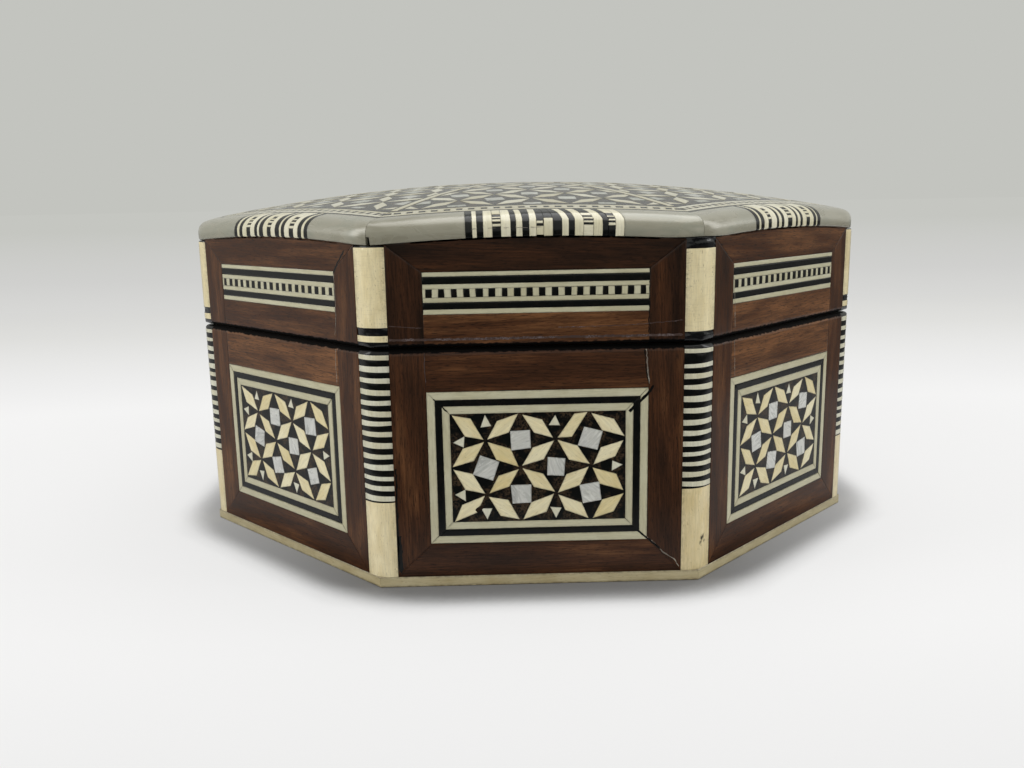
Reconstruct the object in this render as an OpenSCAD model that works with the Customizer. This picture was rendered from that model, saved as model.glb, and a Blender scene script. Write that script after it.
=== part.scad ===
/* [Overall] */
// Distance between opposite side faces of the octagon
across_flats = 150; // [130:1:190]
// Height of the lower half, from the table to the seam
body_h = 46.85; // [44:0.05:64]
// Open line between the two halves when the lid is shut
seam_gap = 0.3; // [0.2:0.05:0.5]
// Height of the lid's core walls, from the seam to the top board
lid_wall_h = 19.05; // [18.6:0.05:30]
// Height of the dome's crown above the underside of the top board
crown_h = 12.05; // [11.5:0.05:16]
// Radius of the domed top
dome_r = 400; // [360:5:600]

/* [Walls] */
// Thickness of the core walls behind the inlay
core_t = 6; // [5.5:0.1:8]
// Thickness of the veneer and inlay skin
skin_t = 1.2; // [1:0.1:1.5]
// Thickness of the base board
base_t = 4; // [3:0.1:6]
// Thickness of the velvet on the walls
velvet_t = 0.8; // [0.6:0.1:1.2]
// Thickness of the padded velvet on the floor and under the top
pad_t = 1.8; // [1:0.1:3]
// Round-over on the two edges that face the seam
seam_round = 1.2; // [0.6:0.1:1.2]
// Glue line between two pieces of the same sort
glue = 0.06; // [0.04:0.01:0.1]

/* [Veneer frames] */
// Width of the stiles, and of the lower rail of the body
frame_w = 6.65; // [5:0.05:8]
// Height of the body's upper rail, at the seam
body_rail_h = 8.1; // [6:0.1:9]
// Height of the lid's lower rail, at the seam
lid_rail_h = 6.15; // [5:0.05:7]
// Height of the bone edging around the foot
edging_h = 2.1; // [1.5:0.1:3]

/* [Side panels] */
// Width of the outer bone line around a side panel
outer_line_w = 1.55; // [1:0.05:2]
// Width of the black line around a side panel
black_line_w = 1.3; // [0.8:0.05:1.6]
// Width of the inner bone line around a side panel
inner_line_w = 1.45; // [1:0.05:2]
// Columns of the panel's mosaic
panel_cols = 5; // [3:2:9]
// Rows of the panel's mosaic
panel_rows = 4; // [2:2:8]
// Width across a bone lozenge
lozenge_w = 2.7; // [2:0.1:3]
// Bare mastic past each tip of a lozenge
tip_gap = 0.4; // [0.35:0.05:0.8]
// Side of a pearl square
square_s = 3.4; // [2.4:0.1:3.5]
// Base and height of a small bone triangle
tri_w = 2; // [1.2:0.1:2.2]
// Distance of a small triangle's tip from the inner line
tri_inset = 0.55; // [0.4:0.05:1]

/* [Lid bands] */
// Widths of the band's strips from the top: bone, black, bone, checks, bone, black, bone
band_strips = [0.85, 1.35, 0.9, 1.6, 0.9, 1.25, 0.95];
// Length of one black and one bone check together
check_pitch = 2.3; // [1.6:0.1:4]

/* [Corner posts] */
// Reach of a post along each of its two faces
post_reach = 3.5; // [3:0.1:4]
// Radius of a post's rounded front
post_r = 5.6; // [5:0.1:8]
// Height of the plain bone block at the foot of a post
foot_block_h = 15; // [8:0.5:20]
// Height of one bone and one black stripe of a post
stripe_pitch = 2.3; // [1.8:0.1:3.5]
// Height of the black stripe of a post
black_stripe_h = 1.05; // [0.6:0.05:1.2]
// Height of the bone stripe at the lower end of a lid post
lid_stripe_h = 1.3; // [1:0.1:1.8]
// Height of the black fill above that stripe
lid_fill_h = 2.65; // [1.5:0.05:4]
// Height of the black fill between a lid post and the rim
cap_fill_h = 0.6; // [0.4:0.1:1.5]

/* [Rim] */
// How far the rim stands out over the sides
rim_out = 0.4; // [0.3:0.05:1]
// Height of the rim in the middle of a side
rim_h = 3.8; // [3.2:0.1:5]
// Radius of the rim's rounded nose
rim_nose_r = 1.9; // [1:0.1:2]
// Width of the rim on the top, from its outer edge to the border
rim_top_w = 5.2; // [4.5:0.1:9]
// Widths of the stripes that repeat in a striped block: black, bone, black, bone, ladder, bone
rim_stripes = [1.2, 0.9, 1.2, 1.6, 1.6, 1.7];
// Times that the stripes repeat in one block
rim_repeats = 3; // [1:1:3]

/* [Top border and mosaic] */
// Widths of the border's strips from outside: black, bone, checks, bone, black
border_strips = [0.8, 1.1, 1.5, 1.1, 0.8];
// Width of the bone lines that run to the corners
spoke_w = 1.4; // [1:0.1:2]
// Bare mastic between the top's pieces
mastic_w = 0.55; // [0.4:0.05:0.9]
// Width of one cell of the top's mosaic
top_cell = 7.2; // [6:0.1:9]
// Distance of the central medallion's edge from the centre
medallion_a = 19.5; // [17:0.5:26]
// Radius of the round pearl in the centre
eye_r = 3; // [2:0.1:4]

/* [Hinges] */
// Distance of each hinge from the middle of the back
hinge_x = 17; // [12:0.5:20]
// Length of a hinge
hinge_l = 12; // [9:0.5:14]
// Width of a leaf, from the pin inwards
leaf_w = 5.4; // [4.5:0.1:5.5]
// Thickness of a leaf
leaf_t = 0.7; // [0.5:0.05:0.8]
// Distance of the pin from the back face
pin_inset = 0.75; // [0.6:0.05:0.8]
// Radius of the hinge pin
pin_r = 0.45; // [0.35:0.05:0.5]
// Outer radius of a knuckle
knuckle_r = 1; // [0.85:0.05:1.1]
// Radial clearance of the pin
pin_clear = 0.04; // [0.02:0.01:0.08]
// Clearance between the knuckles and of the hinge in its seat
hinge_clear = 0.12; // [0.08:0.02:0.2]
// Radius of a nail's shank
nail_r = 0.5; // [0.3:0.05:0.6]
// Length of a nail
nail_l = 4.5; // [3:0.5:6]

/* [Hidden] */
$fn = 96;
dome_fn = 360;
SIDES = 8;
STEP = 360 / SIDES;
HALF = STEP / 2;
NAMES = ["front", "front_right", "right", "back_right", "back", "back_left", "left", "front_left"];
BACK = SIDES / 2;

wood = "#4f2d20";
bone = "#e8dfbf";
black = "#171513";
pearl = "#b9bcb2";
brass = "#b38d42";
velvet = "#741521";
pine = "#a9814f";

t = tan(HALF);
tall = 200;
apothem = across_flats / 2;
side = across_flats * t;
core_a = apothem - skin_t;
inner_a = core_a - core_t;
lined_a = inner_a - velvet_t;
face_half = side / 2 - post_reach;
post_back = face_half * sin(HALF) + core_a * cos(HALF);
post_back_half = core_a * sin(HALF) - face_half * cos(HALF);

lid_z = body_h + seam_gap;
board_z = lid_z + lid_wall_h;
crown_z = board_z + crown_h;
dome_z = crown_z - dome_r;
rim_a = apothem + rim_out;
rim_foot_r = sqrt(dome_r * dome_r - rim_a * rim_a) - rim_h;
border_a = rim_a - rim_top_w;
field_a = border_a - total(border_strips, len(border_strips));
post_top = dome_z + sqrt(rim_foot_r * rim_foot_r - side * side / 4) - glue;

panel_half = face_half - frame_w;
panel_z0 = edging_h + frame_w;
panel_z1 = body_h - body_rail_h;
ground_in = outer_line_w + black_line_w + inner_line_w;
ground_w = 2 * (panel_half - ground_in);
ground_h = panel_z1 - panel_z0 - 2 * ground_in;
panel_cell = [ground_w / panel_cols, ground_h / panel_rows];
panel_mid = (panel_z0 + panel_z1) / 2;
band_z0 = lid_z + lid_rail_h;
band_h = total(band_strips, len(band_strips));
band_checks = round(2 * panel_half / check_pitch);
band_pitch = 2 * panel_half / band_checks;

pin_y = apothem - pin_inset;
pin_z = body_h + seam_gap / 2;
knuckle_l = (hinge_l - 2 * hinge_clear) / 3;
nail_at = (hinge_l - knuckle_l) / 2;
nail_y = pin_y - (leaf_w + knuckle_r + hinge_clear) / 2;
nail_head_h = leaf_t / 2;
nail_head_r = 2 * nail_r;

// Sum of the first n entries of a list
function total(list, n) = n == 0 ? 0 : list[n - 1] + total(list, n - 1);
// Height of the dome above its centre, in the plane at distance a
function dome_at(a, drop = 0) = sqrt((dome_r - drop) * (dome_r - drop) - a * a);
// Degrees of the dome that a length covers
function deg(length) = length / dome_r * 180 / PI;
// Grid point of a mosaic of cells, counted from its top left corner
function knot(i, j) = [(i - panel_cols / 2) * panel_cell.x, (panel_rows / 2 - j) * panel_cell.y];
function is_odd(n) = n % 2 == 1;

// Turns the front face's pieces to side k
module on_side(k) {
    rotate([0, 0, STEP * k]) children();
}

// The same pieces on all eight sides
module all_sides() {
    for (k = [0 : SIDES - 1]) on_side(k) children();
}

// Turns what is drawn at the front to each of the eight corners
module all_corners() {
    for (k = [0 : SIDES - 1]) rotate([0, 0, STEP * k + HALF]) children();
}

// A flat outline, x along the face and y upwards, made into a flush piece of the skin
module on_face(thick = skin_t) {
    translate([0, thick - apothem, 0]) rotate([90, 0, 0]) linear_extrude(thick) children();
}

module octagon(a) {
    polygon([for (k = [0 : SIDES - 1]) a / cos(HALF) * [cos(STEP * k + HALF), sin(STEP * k + HALF)]]);
}

// The core's plan, with its corners cut back behind the posts
module cut_octagon() {
    intersection() {
        octagon(core_a);
        rotate(HALF) octagon(post_back);
    }
}

// The wedge of one side between its two mitres
module side_wedge(a, cut = 0) {
    polygon([[0, 0], [-a * t + cut, -a], [a * t - cut, -a]]);
}

// A straight-sided solid with its edges on the seam rounded, upright (1) or upside down (-1)
module rounded_edge(z, way) {
    steps = 6;
    arc = [for (i = [0 : steps]) seam_round * [cos(90 * i / steps) - 1, sin(90 * i / steps) - 1]];
    outline = concat([for (p = arc) [apothem + p.x, z + way * p.y]],
                     [for (i = [steps : -1 : 0]) [-apothem - arc[i].x, z + way * arc[i].y]],
                     [[-apothem, z - way * tall], [apothem, z - way * tall]]);
    intersection_for(k = [0 : BACK - 1])
        on_side(k) rotate([90, 0, 0]) linear_extrude(2 * tall, center = true) polygon(outline);
}

module cut_to_seam(upright) {
    intersection() {
        union() children();
        if (upright) rounded_edge(body_h, 1);
        else rounded_edge(lid_z, -1);
    }
}

// Plan of one core wall, with its outer corners cut back to seat the posts
module wall_plan(inner, outer) {
    mitre = post_back * [sin(HALF), -cos(HALF)];
    polygon([[-inner * t, -inner], [-mitre.x, mitre.y], [-face_half, -outer],
             [face_half, -outer], [mitre.x, mitre.y], [inner * t, -inner]]);
}

module body_wall(k) {
    color(pine) difference() {
        on_side(k) translate([0, 0, base_t]) linear_extrude(body_h - base_t) wall_plan(inner_a, core_a);
        if (k == BACK) hinge_seats();
    }
}

module lid_wall(k) {
    color(pine) difference() {
        on_side(k) translate([0, 0, lid_z]) linear_extrude(lid_wall_h) wall_plan(inner_a, core_a);
        if (k == BACK) hinge_seats();
    }
}

module base_board() {
    color(pine) {
        linear_extrude(edging_h) octagon(core_a);
        linear_extrude(base_t) cut_octagon();
    }
}

module base_edging() {
    color(bone) all_sides() linear_extrude(edging_h)
        polygon([[-apothem * t + glue, -apothem], [apothem * t - glue, -apothem],
                 [core_a * t - glue, -core_a], [-core_a * t + glue, -core_a]]);
}

module body_lower_rails() {
    color(wood) all_sides() on_face()
        polygon([[-face_half, edging_h], [face_half, edging_h],
                 [panel_half, panel_z0], [-panel_half, panel_z0]]);
}

module body_stiles() {
    color(wood) difference() {
        cut_to_seam(true) all_sides() for (s = [-1, 1]) on_face()
            polygon([[s * panel_half, panel_z0], [s * face_half, edging_h],
                     [s * face_half, body_h], [s * panel_half, body_h]]);
        hinge_seats();
    }
}

module body_upper_rails() {
    color(wood) difference() {
        cut_to_seam(true) all_sides() on_face()
            translate([-panel_half, panel_z1]) square([2 * panel_half, body_rail_h]);
        hinge_seats();
    }
}

// Four mitred strips around a panel, w wide, starting at a distance from its edge
module mitred_lines(inset, w) {
    size = [2 * (panel_half - inset), panel_z1 - panel_z0 - 2 * inset];
    for (turned = [0, 1], way = [-1, 1]) {
        l = turned ? size.y : size.x;
        h = turned ? size.x : size.y;
        on_face() translate([0, panel_mid]) rotate(90 * turned)
            polygon([[-l / 2 + glue, way * h / 2], [l / 2 - glue, way * h / 2],
                     [l / 2 - w - glue, way * (h / 2 - w)], [-l / 2 + w + glue, way * (h / 2 - w)]]);
    }
}

module panel_bone_lines() {
    color(bone) all_sides() {
        mitred_lines(0, outer_line_w);
        mitred_lines(outer_line_w + black_line_w, inner_line_w);
    }
}

module panel_black_lines() {
    color(black) all_sides() mitred_lines(outer_line_w, black_line_w);
}

module lozenge(length, w) {
    polygon([[-length / 2, 0], [0, -w / 2], [length / 2, 0], [0, w / 2]]);
}

// One lozenge in every cell, along the diagonal that joins two even knots
module panel_lozenge_shapes() {
    for (i = [0 : panel_cols - 1], j = [0 : panel_rows - 1]) {
        fall = is_odd(i + j) ? 1 : -1;
        translate((knot(i, j) + knot(i + 1, j + 1)) / 2)
            rotate(fall * atan(panel_cell.y / panel_cell.x))
                lozenge(norm(panel_cell) - 2 * tip_gap, lozenge_w);
    }
}

module panel_pearl_shapes() {
    for (i = [1 : panel_cols - 1], j = [1 : panel_rows - 1])
        if (is_odd(i + j)) translate(knot(i, j)) square(square_s, center = true);
}

// A small triangle whose tip points along +y
module tip_up() {
    polygon([[0, -tri_inset], [-tri_w / 2, -tri_inset - tri_w], [tri_w / 2, -tri_inset - tri_w]]);
}

module panel_triangle_shapes() {
    for (i = [1 : panel_cols - 1]) {
        if (is_odd(i)) translate(knot(i, 0)) tip_up();
        if (is_odd(i + panel_rows)) translate(knot(i, panel_rows)) rotate(180) tip_up();
    }
    for (j = [1 : panel_rows - 1]) {
        if (is_odd(j)) translate(knot(0, j)) rotate(90) tip_up();
        if (is_odd(j + panel_cols)) translate(knot(panel_cols, j)) rotate(-90) tip_up();
    }
}

module panel_inlay() {
    all_sides() on_face() translate([0, panel_mid]) children();
}

module panel_grounds() {
    color(black) panel_inlay() difference() {
        square([ground_w, ground_h], center = true);
        panel_lozenge_shapes();
        panel_pearl_shapes();
        panel_triangle_shapes();
    }
}

module panel_lozenges() {
    color(bone) panel_inlay() panel_lozenge_shapes();
}

module panel_pearls() {
    color(pearl) panel_inlay() panel_pearl_shapes();
}

module panel_triangles() {
    color(bone) panel_inlay() panel_triangle_shapes();
}

// Plan of one post, drawn at the front: flat back and sides, rounded front
module post_plan() {
    chord_r = apothem / cos(HALF) - post_reach * sin(HALF);
    chord_half = post_reach * cos(HALF);
    past = 2 * skin_t;
    intersection() {
        translate([0, sqrt(post_r * post_r - chord_half * chord_half) - chord_r]) circle(post_r);
        polygon([[-post_back_half, -post_back], [post_back_half, -post_back],
                 [chord_half + past * sin(HALF), -chord_r - past * cos(HALF)],
                 [-chord_half - past * sin(HALF), -chord_r - past * cos(HALF)]]);
    }
}

module post_piece(z0, z1) {
    translate([0, 0, z0]) linear_extrude(z1 - z0) post_plan();
}

stripe_z0 = edging_h + foot_block_h;
stripes = round((body_h - stripe_z0) / stripe_pitch);
stripe_step = (body_h - stripe_z0) / stripes;
// Lower edge of black stripe i of a post
function stripe_z(i) = stripe_z0 + i * stripe_step;

module post_foot_blocks() {
    color(bone) all_corners() post_piece(edging_h, stripe_z0);
}

module post_bone_stripes() {
    color(bone) {
        for (i = [0 : stripes - 2]) all_corners()
            post_piece(stripe_z(i) + black_stripe_h, stripe_z(i + 1));
        cut_to_seam(true) all_corners()
            post_piece(stripe_z(stripes - 1) + black_stripe_h, body_h);
    }
}

module post_black_stripes() {
    color(black) for (i = [0 : stripes - 1])
        all_corners() post_piece(stripe_z(i), stripe_z(i) + black_stripe_h);
}

block_z0 = lid_z + lid_stripe_h + lid_fill_h;

module lid_post_bones() {
    color(bone) {
        cut_to_seam(false) all_corners() post_piece(lid_z, lid_z + lid_stripe_h);
        all_corners() post_piece(block_z0, post_top - cap_fill_h);
    }
}

module lid_post_fills() {
    color(black) all_corners() {
        post_piece(lid_z + lid_stripe_h, block_z0);
        post_piece(post_top - cap_fill_h, post_top);
    }
}

module body_lining() {
    color(velvet) all_sides() translate([0, 0, base_t]) linear_extrude(body_h - base_t - velvet_t)
        polygon([[-inner_a * t + glue, -inner_a], [inner_a * t - glue, -inner_a],
                 [lined_a * t - glue, -lined_a], [-lined_a * t + glue, -lined_a]]);
}

module floor_pad() {
    color(velvet) translate([0, 0, base_t]) linear_extrude(pad_t) octagon(lined_a);
}

module lid_lining() {
    color(velvet) all_sides() translate([0, 0, lid_z + velvet_t]) linear_extrude(lid_wall_h - velvet_t)
        polygon([[-inner_a * t + glue, -inner_a], [inner_a * t - glue, -inner_a],
                 [lined_a * t - glue, -lined_a], [-lined_a * t + glue, -lined_a]]);
}

module lid_pad() {
    color(velvet) translate([0, 0, board_z - pad_t]) linear_extrude(pad_t) octagon(lined_a);
}

// A face outline of the lid, cut by the rim's curved underside
module under_rim() {
    intersection() {
        children();
        translate([0, dome_z]) circle(rim_foot_r, $fn = dome_fn);
    }
}

mitre_rise = post_top - band_z0 - band_h;

module lid_lower_rails() {
    color(wood) difference() {
        cut_to_seam(false) all_sides() on_face()
            translate([-panel_half, lid_z]) square([2 * panel_half, lid_rail_h]);
        hinge_seats();
    }
}

module lid_stiles() {
    color(wood) difference() {
        cut_to_seam(false) all_sides() for (s = [-1, 1]) on_face()
            polygon([[s * panel_half, lid_z], [s * face_half, lid_z], [s * face_half, post_top],
                     [s * panel_half, band_z0 + band_h]]);
        hinge_seats();
    }
}

module lid_upper_rails() {
    color(wood) all_sides() on_face() under_rim()
        polygon([[-panel_half, band_z0 + band_h], [panel_half, band_z0 + band_h],
                 [face_half, post_top], [face_half, post_top + mitre_rise],
                 [-face_half, post_top + mitre_rise], [-face_half, post_top]]);
}

// Strip number i of the side band, counted from the top
module band_strip(i) {
    on_face() translate([-panel_half, band_z0 + band_h - total(band_strips, i + 1)])
        square([2 * panel_half, band_strips[i]]);
}

module band_bone_lines() {
    color(bone) all_sides() for (i = [0, 2, 4, 6]) band_strip(i);
}

module band_black_lines() {
    color(black) all_sides() for (i = [1, 5]) band_strip(i);
}

// One check of the band, from u0 to u1 along the face
module band_check(u0, u1) {
    on_face() translate([u0, band_z0 + band_h - total(band_strips, 4)])
        square([u1 - u0, band_strips[3] - glue]);
}

module band_black_checks() {
    color(black) all_sides() for (i = [0 : band_checks - 1])
        band_check((i + 0.25) * band_pitch - panel_half, (i + 0.75) * band_pitch - panel_half);
}

module band_bone_checks() {
    color(bone) all_sides() for (i = [0 : band_checks])
        band_check(max((i - 0.25) * band_pitch, 0) - panel_half,
                   min((i + 0.25) * band_pitch, 2 * panel_half) - panel_half);
}

module top_board() {
    color(pine) intersection() {
        union() {
            translate([0, 0, board_z]) linear_extrude(crown_h) cut_octagon();
            translate([0, 0, max(board_z, post_top)]) linear_extrude(crown_h) octagon(core_a);
        }
        translate([0, 0, dome_z]) sphere(dome_r - skin_t - glue, $fn = dome_fn);
    }
}

// A profile of height above the dome's centre and distance outwards, swept over the front side from u0 to u1
module dome_sweep(u0, u1) {
    translate([0, 0, dome_z]) rotate([90, -90, 0]) rotate([0, 0, -deg(u1)])
        rotate_extrude(angle = deg(u1 - u0), $fn = dome_fn) children();
}

// Section of the rim: a thin flange over the board and a rounded nose down its edge
module rim_section() {
    steps = 4;
    nose_a = rim_a - rim_nose_r;
    nose_z = dome_at(nose_a, rim_nose_r);
    turn = 90 - asin(nose_a / (dome_r - rim_nose_r));
    nose = [for (i = [0 : steps])
        [nose_z, nose_a] + rim_nose_r * [sin(turn * i / steps), cos(turn * i / steps)]];
    polygon(concat([[rim_foot_r, rim_a]], nose,
                   [[dome_at(border_a), border_a], [dome_at(border_a, skin_t), border_a],
                    [dome_at(core_a, skin_t), core_a], [rim_foot_r, core_a]]));
}

block_l = rim_repeats * total(rim_stripes, len(rim_stripes)) + total(rim_stripes, 3);

// Left edge of stripe j of repeat i in the striped block
function stripe_u(i, j) = i * total(rim_stripes, len(rim_stripes)) + total(rim_stripes, j) - block_l / 2;

module rim_stripe(i, j) {
    dome_sweep(stripe_u(i, j), stripe_u(i, j) + rim_stripes[j]) rim_section();
}

module rim_pearl() {
    color(pearl) all_sides() intersection() {
        for (s = [-1, 1]) {
            ends = [s * block_l / 2, s * rim_a / 2];
            dome_sweep(min(ends), max(ends)) rim_section();
        }
        linear_extrude(tall) side_wedge(2 * rim_a, glue);
    }
}

module rim_bone_stripes() {
    color(bone) all_sides() {
        for (i = [0 : rim_repeats - 1], j = [1, 3, 5]) rim_stripe(i, j);
        rim_stripe(rim_repeats, 1);
    }
}

module rim_black_stripes() {
    color(black) all_sides() {
        for (i = [0 : rim_repeats - 1], j = [0, 2, 4]) rim_stripe(i, j);
        for (j = [0, 2]) rim_stripe(rim_repeats, j);
    }
}

// A strip of the top's skin between two distances from the centre
module top_strip_section(a0, a1) {
    polygon([[dome_at(a0, skin_t), a0], [dome_at(a0), a0], [dome_at(a1), a1], [dome_at(a1, skin_t), a1]]);
}

module border_strip(i, margin = 0) {
    a1 = border_a - total(border_strips, i);
    a0 = a1 - border_strips[i];
    intersection() {
        dome_sweep(-a1 / 2, a1 / 2) top_strip_section(a0 + margin, a1 - margin);
        linear_extrude(tall) side_wedge(2 * a1, glue);
    }
}

check_a = border_a - total(border_strips, 2);
check_half = check_a * t - border_strips[2];
border_checks = round(2 * check_half / check_pitch);
border_pitch = 2 * check_half / border_checks;

module border_check(u0, u1) {
    dome_sweep(u0, u1) top_strip_section(check_a - border_strips[2] + glue, check_a - glue);
}

module border_black() {
    color(black) all_sides() {
        border_strip(0);
        border_strip(4);
        for (i = [0 : border_checks - 1])
            border_check((i + 0.25) * border_pitch - check_half, (i + 0.75) * border_pitch - check_half);
    }
}

module border_bone() {
    color(bone) all_sides() {
        border_strip(1);
        border_strip(3);
        for (i = [1 : border_checks - 1])
            border_check((i - 0.25) * border_pitch - check_half, (i + 0.25) * border_pitch - check_half);
    }
}

// The top's skin, cut to a flat outline seen from above
module on_dome() {
    intersection() {
        translate([0, 0, board_z]) linear_extrude(crown_h) children();
        translate([0, 0, dome_z]) difference() {
            sphere(dome_r, $fn = dome_fn);
            sphere(dome_r - skin_t, $fn = dome_fn);
        }
    }
}

medallion_out = medallion_a + spoke_w;
gore_rows = floor((field_a - mastic_w - medallion_out) / top_cell);
gore_step = (field_a - mastic_w - medallion_out) / gore_rows;
// Distance of row line j from the centre
function row_a(j) = medallion_out + j * gore_step;
// Half of a gore's free width at distance a, beside the bone lines to the corners
function gore_half(a) = a * t - (spoke_w / 2 + mastic_w) / cos(HALF);
// Whole cells on each side of the middle in row j
function row_cells(j) = max(floor(gore_half(row_a(j)) / top_cell), 0);

// Lozenges of one gore, in whole cells on both sides of its middle
module gore_lozenges() {
    for (j = [0 : gore_rows - 1], i = [0 : 1 : row_cells(j) - 1], s = [-1, 1]) {
        lean = is_odd(i + j) ? -1 : 1;
        translate([s * (i + 0.5) * top_cell, -(row_a(j) + row_a(j + 1)) / 2])
            rotate(s * lean * atan(gore_step / top_cell))
                lozenge(norm([top_cell, gore_step]) - 2 * tip_gap, lozenge_w);
    }
}

// Pearl squares of one gore, on the knots that no lozenge points at
module gore_squares() {
    for (j = [1 : gore_rows - 1]) {
        reach = min(row_cells(j), row_cells(j - 1)) - 1;
        for (i = [-reach : 1 : reach])
            if (is_odd(abs(i) + j + 1)) translate([i * top_cell, -row_a(j)]) square(square_s, center = true);
    }
}

// Pearl pieces that fill each row out to the corner lines
module gore_fillers() {
    for (j = [0 : gore_rows - 1], s = [-1, 1]) {
        u0 = row_cells(j) * top_cell + mastic_w / 2;
        a0 = row_a(j) + mastic_w / 2;
        a1 = row_a(j + 1) - mastic_w / 2;
        polygon([[s * u0, -a0], [s * max(gore_half(a0), u0 + mastic_w), -a0],
                 [s * gore_half(a1), -a1], [s * u0, -a1]]);
    }
}

module eight_times() {
    for (k = [0 : SIDES - 1]) rotate(STEP * k) children();
}

star_r = medallion_a - 2 * mastic_w;
star_in = eye_r + mastic_w;

// Star of eight bone lozenges around the eye
module star_lozenges() {
    eight_times() translate([0, -(star_in + star_r) / 2]) rotate(90)
        lozenge(star_r - star_in, (star_in + star_r) / 2 * t);
}

// Pearl kites between the star's points
module star_kites() {
    mid_r = (star_in + star_r) / 2 + mastic_w;
    rotate(HALF) eight_times() translate([0, -(mid_r + star_r) / 2]) rotate(90)
        lozenge(star_r - mid_r, (star_r - mid_r) * t);
}

module top_line_shapes() {
    rotate(HALF) eight_times()
        translate([-spoke_w / 2, -(field_a - mastic_w) / cos(HALF)])
            square([spoke_w, (field_a - medallion_out - 2 * mastic_w) / cos(HALF)]);
    difference() {
        octagon(medallion_out - mastic_w / 2);
        octagon(medallion_a);
    }
}

module top_pearl_shapes() {
    eight_times() {
        gore_squares();
        gore_fillers();
    }
    star_kites();
    circle(eye_r);
}

module top_lozenge_shapes() {
    eight_times() gore_lozenges();
    star_lozenges();
}

module top_ground() {
    color(black) on_dome() difference() {
        octagon(field_a);
        top_lozenge_shapes();
        top_pearl_shapes();
        top_line_shapes();
    }
}

module top_lozenges() {
    color(bone) on_dome() top_lozenge_shapes();
}

module top_pearls() {
    color(pearl) on_dome() top_pearl_shapes();
}

module top_lines() {
    color(bone) on_dome() top_line_shapes();
}

// Places one hinge's pieces, x along the pin from the middle of the hinge
module both_hinges() {
    for (s = [-1, 1]) translate([s * hinge_x, 0, 0]) children();
}

// Rod along the pin, centred in the hinge at x
module rod(x, r, l) {
    translate([x, pin_y, pin_z]) rotate([0, 90, 0]) cylinder(r = r, h = l, center = true);
}

// Middle of each nail of one hinge: way -1 goes down into the body, way 1 up into the lid
module nail_spots(way) {
    for (s = [-1, 1]) translate([s * nail_at, nail_y, pin_z + way * nail_l / 2]) children();
}

// Room for both hinges: knuckles in the seam, and a leaf let into each half
module hinge_seats() {
    both_hinges() {
        rod(0, knuckle_r + hinge_clear, hinge_l + 2 * hinge_clear);
        translate([-hinge_l / 2 - hinge_clear, pin_y - leaf_w - hinge_clear, body_h - leaf_t])
            cube([hinge_l + 2 * hinge_clear, leaf_w + hinge_clear, 2 * leaf_t + seam_gap]);
        for (way = [-1, 1])
            nail_spots(way) cylinder(r = nail_r + pin_clear, h = nail_l, center = true);
    }
}

// One leaf: way -1 is let into the body, way 1 into the lid
module leaf(way) {
    z0 = way < 0 ? body_h - leaf_t : lid_z;
    knuckles = way < 0 ? [-1, 1] : [0];
    gaps = way < 0 ? [0] : [-1, 1];
    pitch = knuckle_l + hinge_clear;
    difference() {
        union() {
            translate([-hinge_l / 2, pin_y - leaf_w, z0]) cube([hinge_l, leaf_w, leaf_t]);
            for (i = knuckles) rod(i * pitch, knuckle_r, knuckle_l);
        }
        for (i = gaps) rod(i * pitch, knuckle_r + hinge_clear, knuckle_l + 2 * hinge_clear);
        for (i = gaps)
            translate([i * pitch - knuckle_l / 2 - hinge_clear, pin_y - knuckle_r / 2, z0 - leaf_t])
                cube([knuckle_l + 2 * hinge_clear, knuckle_r, 3 * leaf_t]);
        rod(0, pin_r + pin_clear, 2 * hinge_l);
        nail_spots(way) nail(way, pin_clear);
    }
}

// A nail with a sunk cone head on the seam side, drawn around the middle of its length
module nail(way, grow) {
    top = -way * (nail_l - seam_gap) / 2;
    cylinder(r = nail_r + grow, h = nail_l - seam_gap, center = true);
    translate([0, 0, top - (way < 0 ? nail_head_h : 0)])
        cylinder(r1 = way < 0 ? nail_r + grow : nail_head_r + grow,
                 r2 = way < 0 ? nail_head_r + grow : nail_r + grow, h = nail_head_h);
}

module hinge_body_leaves() {
    color(brass) both_hinges() leaf(-1);
}

module hinge_lid_leaves() {
    color(brass) both_hinges() leaf(1);
}

module hinge_pins() {
    color(brass) both_hinges() rod(0, pin_r, hinge_l);
}

module nails(way) {
    color(brass) both_hinges() nail_spots(way) nail(way, 0);
}

for (k = [0 : SIDES - 1]) {
    body_wall(k);
    lid_wall(k);
}
base_board();
base_edging();
body_lower_rails();
body_stiles();
body_upper_rails();
panel_bone_lines();
panel_black_lines();
panel_grounds();
panel_lozenges();
panel_pearls();
panel_triangles();
post_foot_blocks();
post_bone_stripes();
post_black_stripes();
body_lining();
floor_pad();
hinge_body_leaves();
hinge_pins();
nails(-1);  // hinge_body_nails
lid_lower_rails();
lid_stiles();
lid_upper_rails();
band_bone_lines();
band_black_lines();
band_black_checks();
band_bone_checks();
lid_post_bones();
lid_post_fills();
top_board();
rim_pearl();
rim_bone_stripes();
rim_black_stripes();
border_black();
border_bone();
top_ground();
top_lozenges();
top_pearls();
top_lines();
lid_lining();
lid_pad();
hinge_lid_leaves();
nails(1);  // hinge_lid_nails
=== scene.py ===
import bisect
import logging
import math
import random
from dataclasses import dataclass, field
from enum import Enum
from typing import Callable, ClassVar, Iterable, Sequence

import bmesh
import bpy
from mathutils import Matrix, Vector, noise


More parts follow.
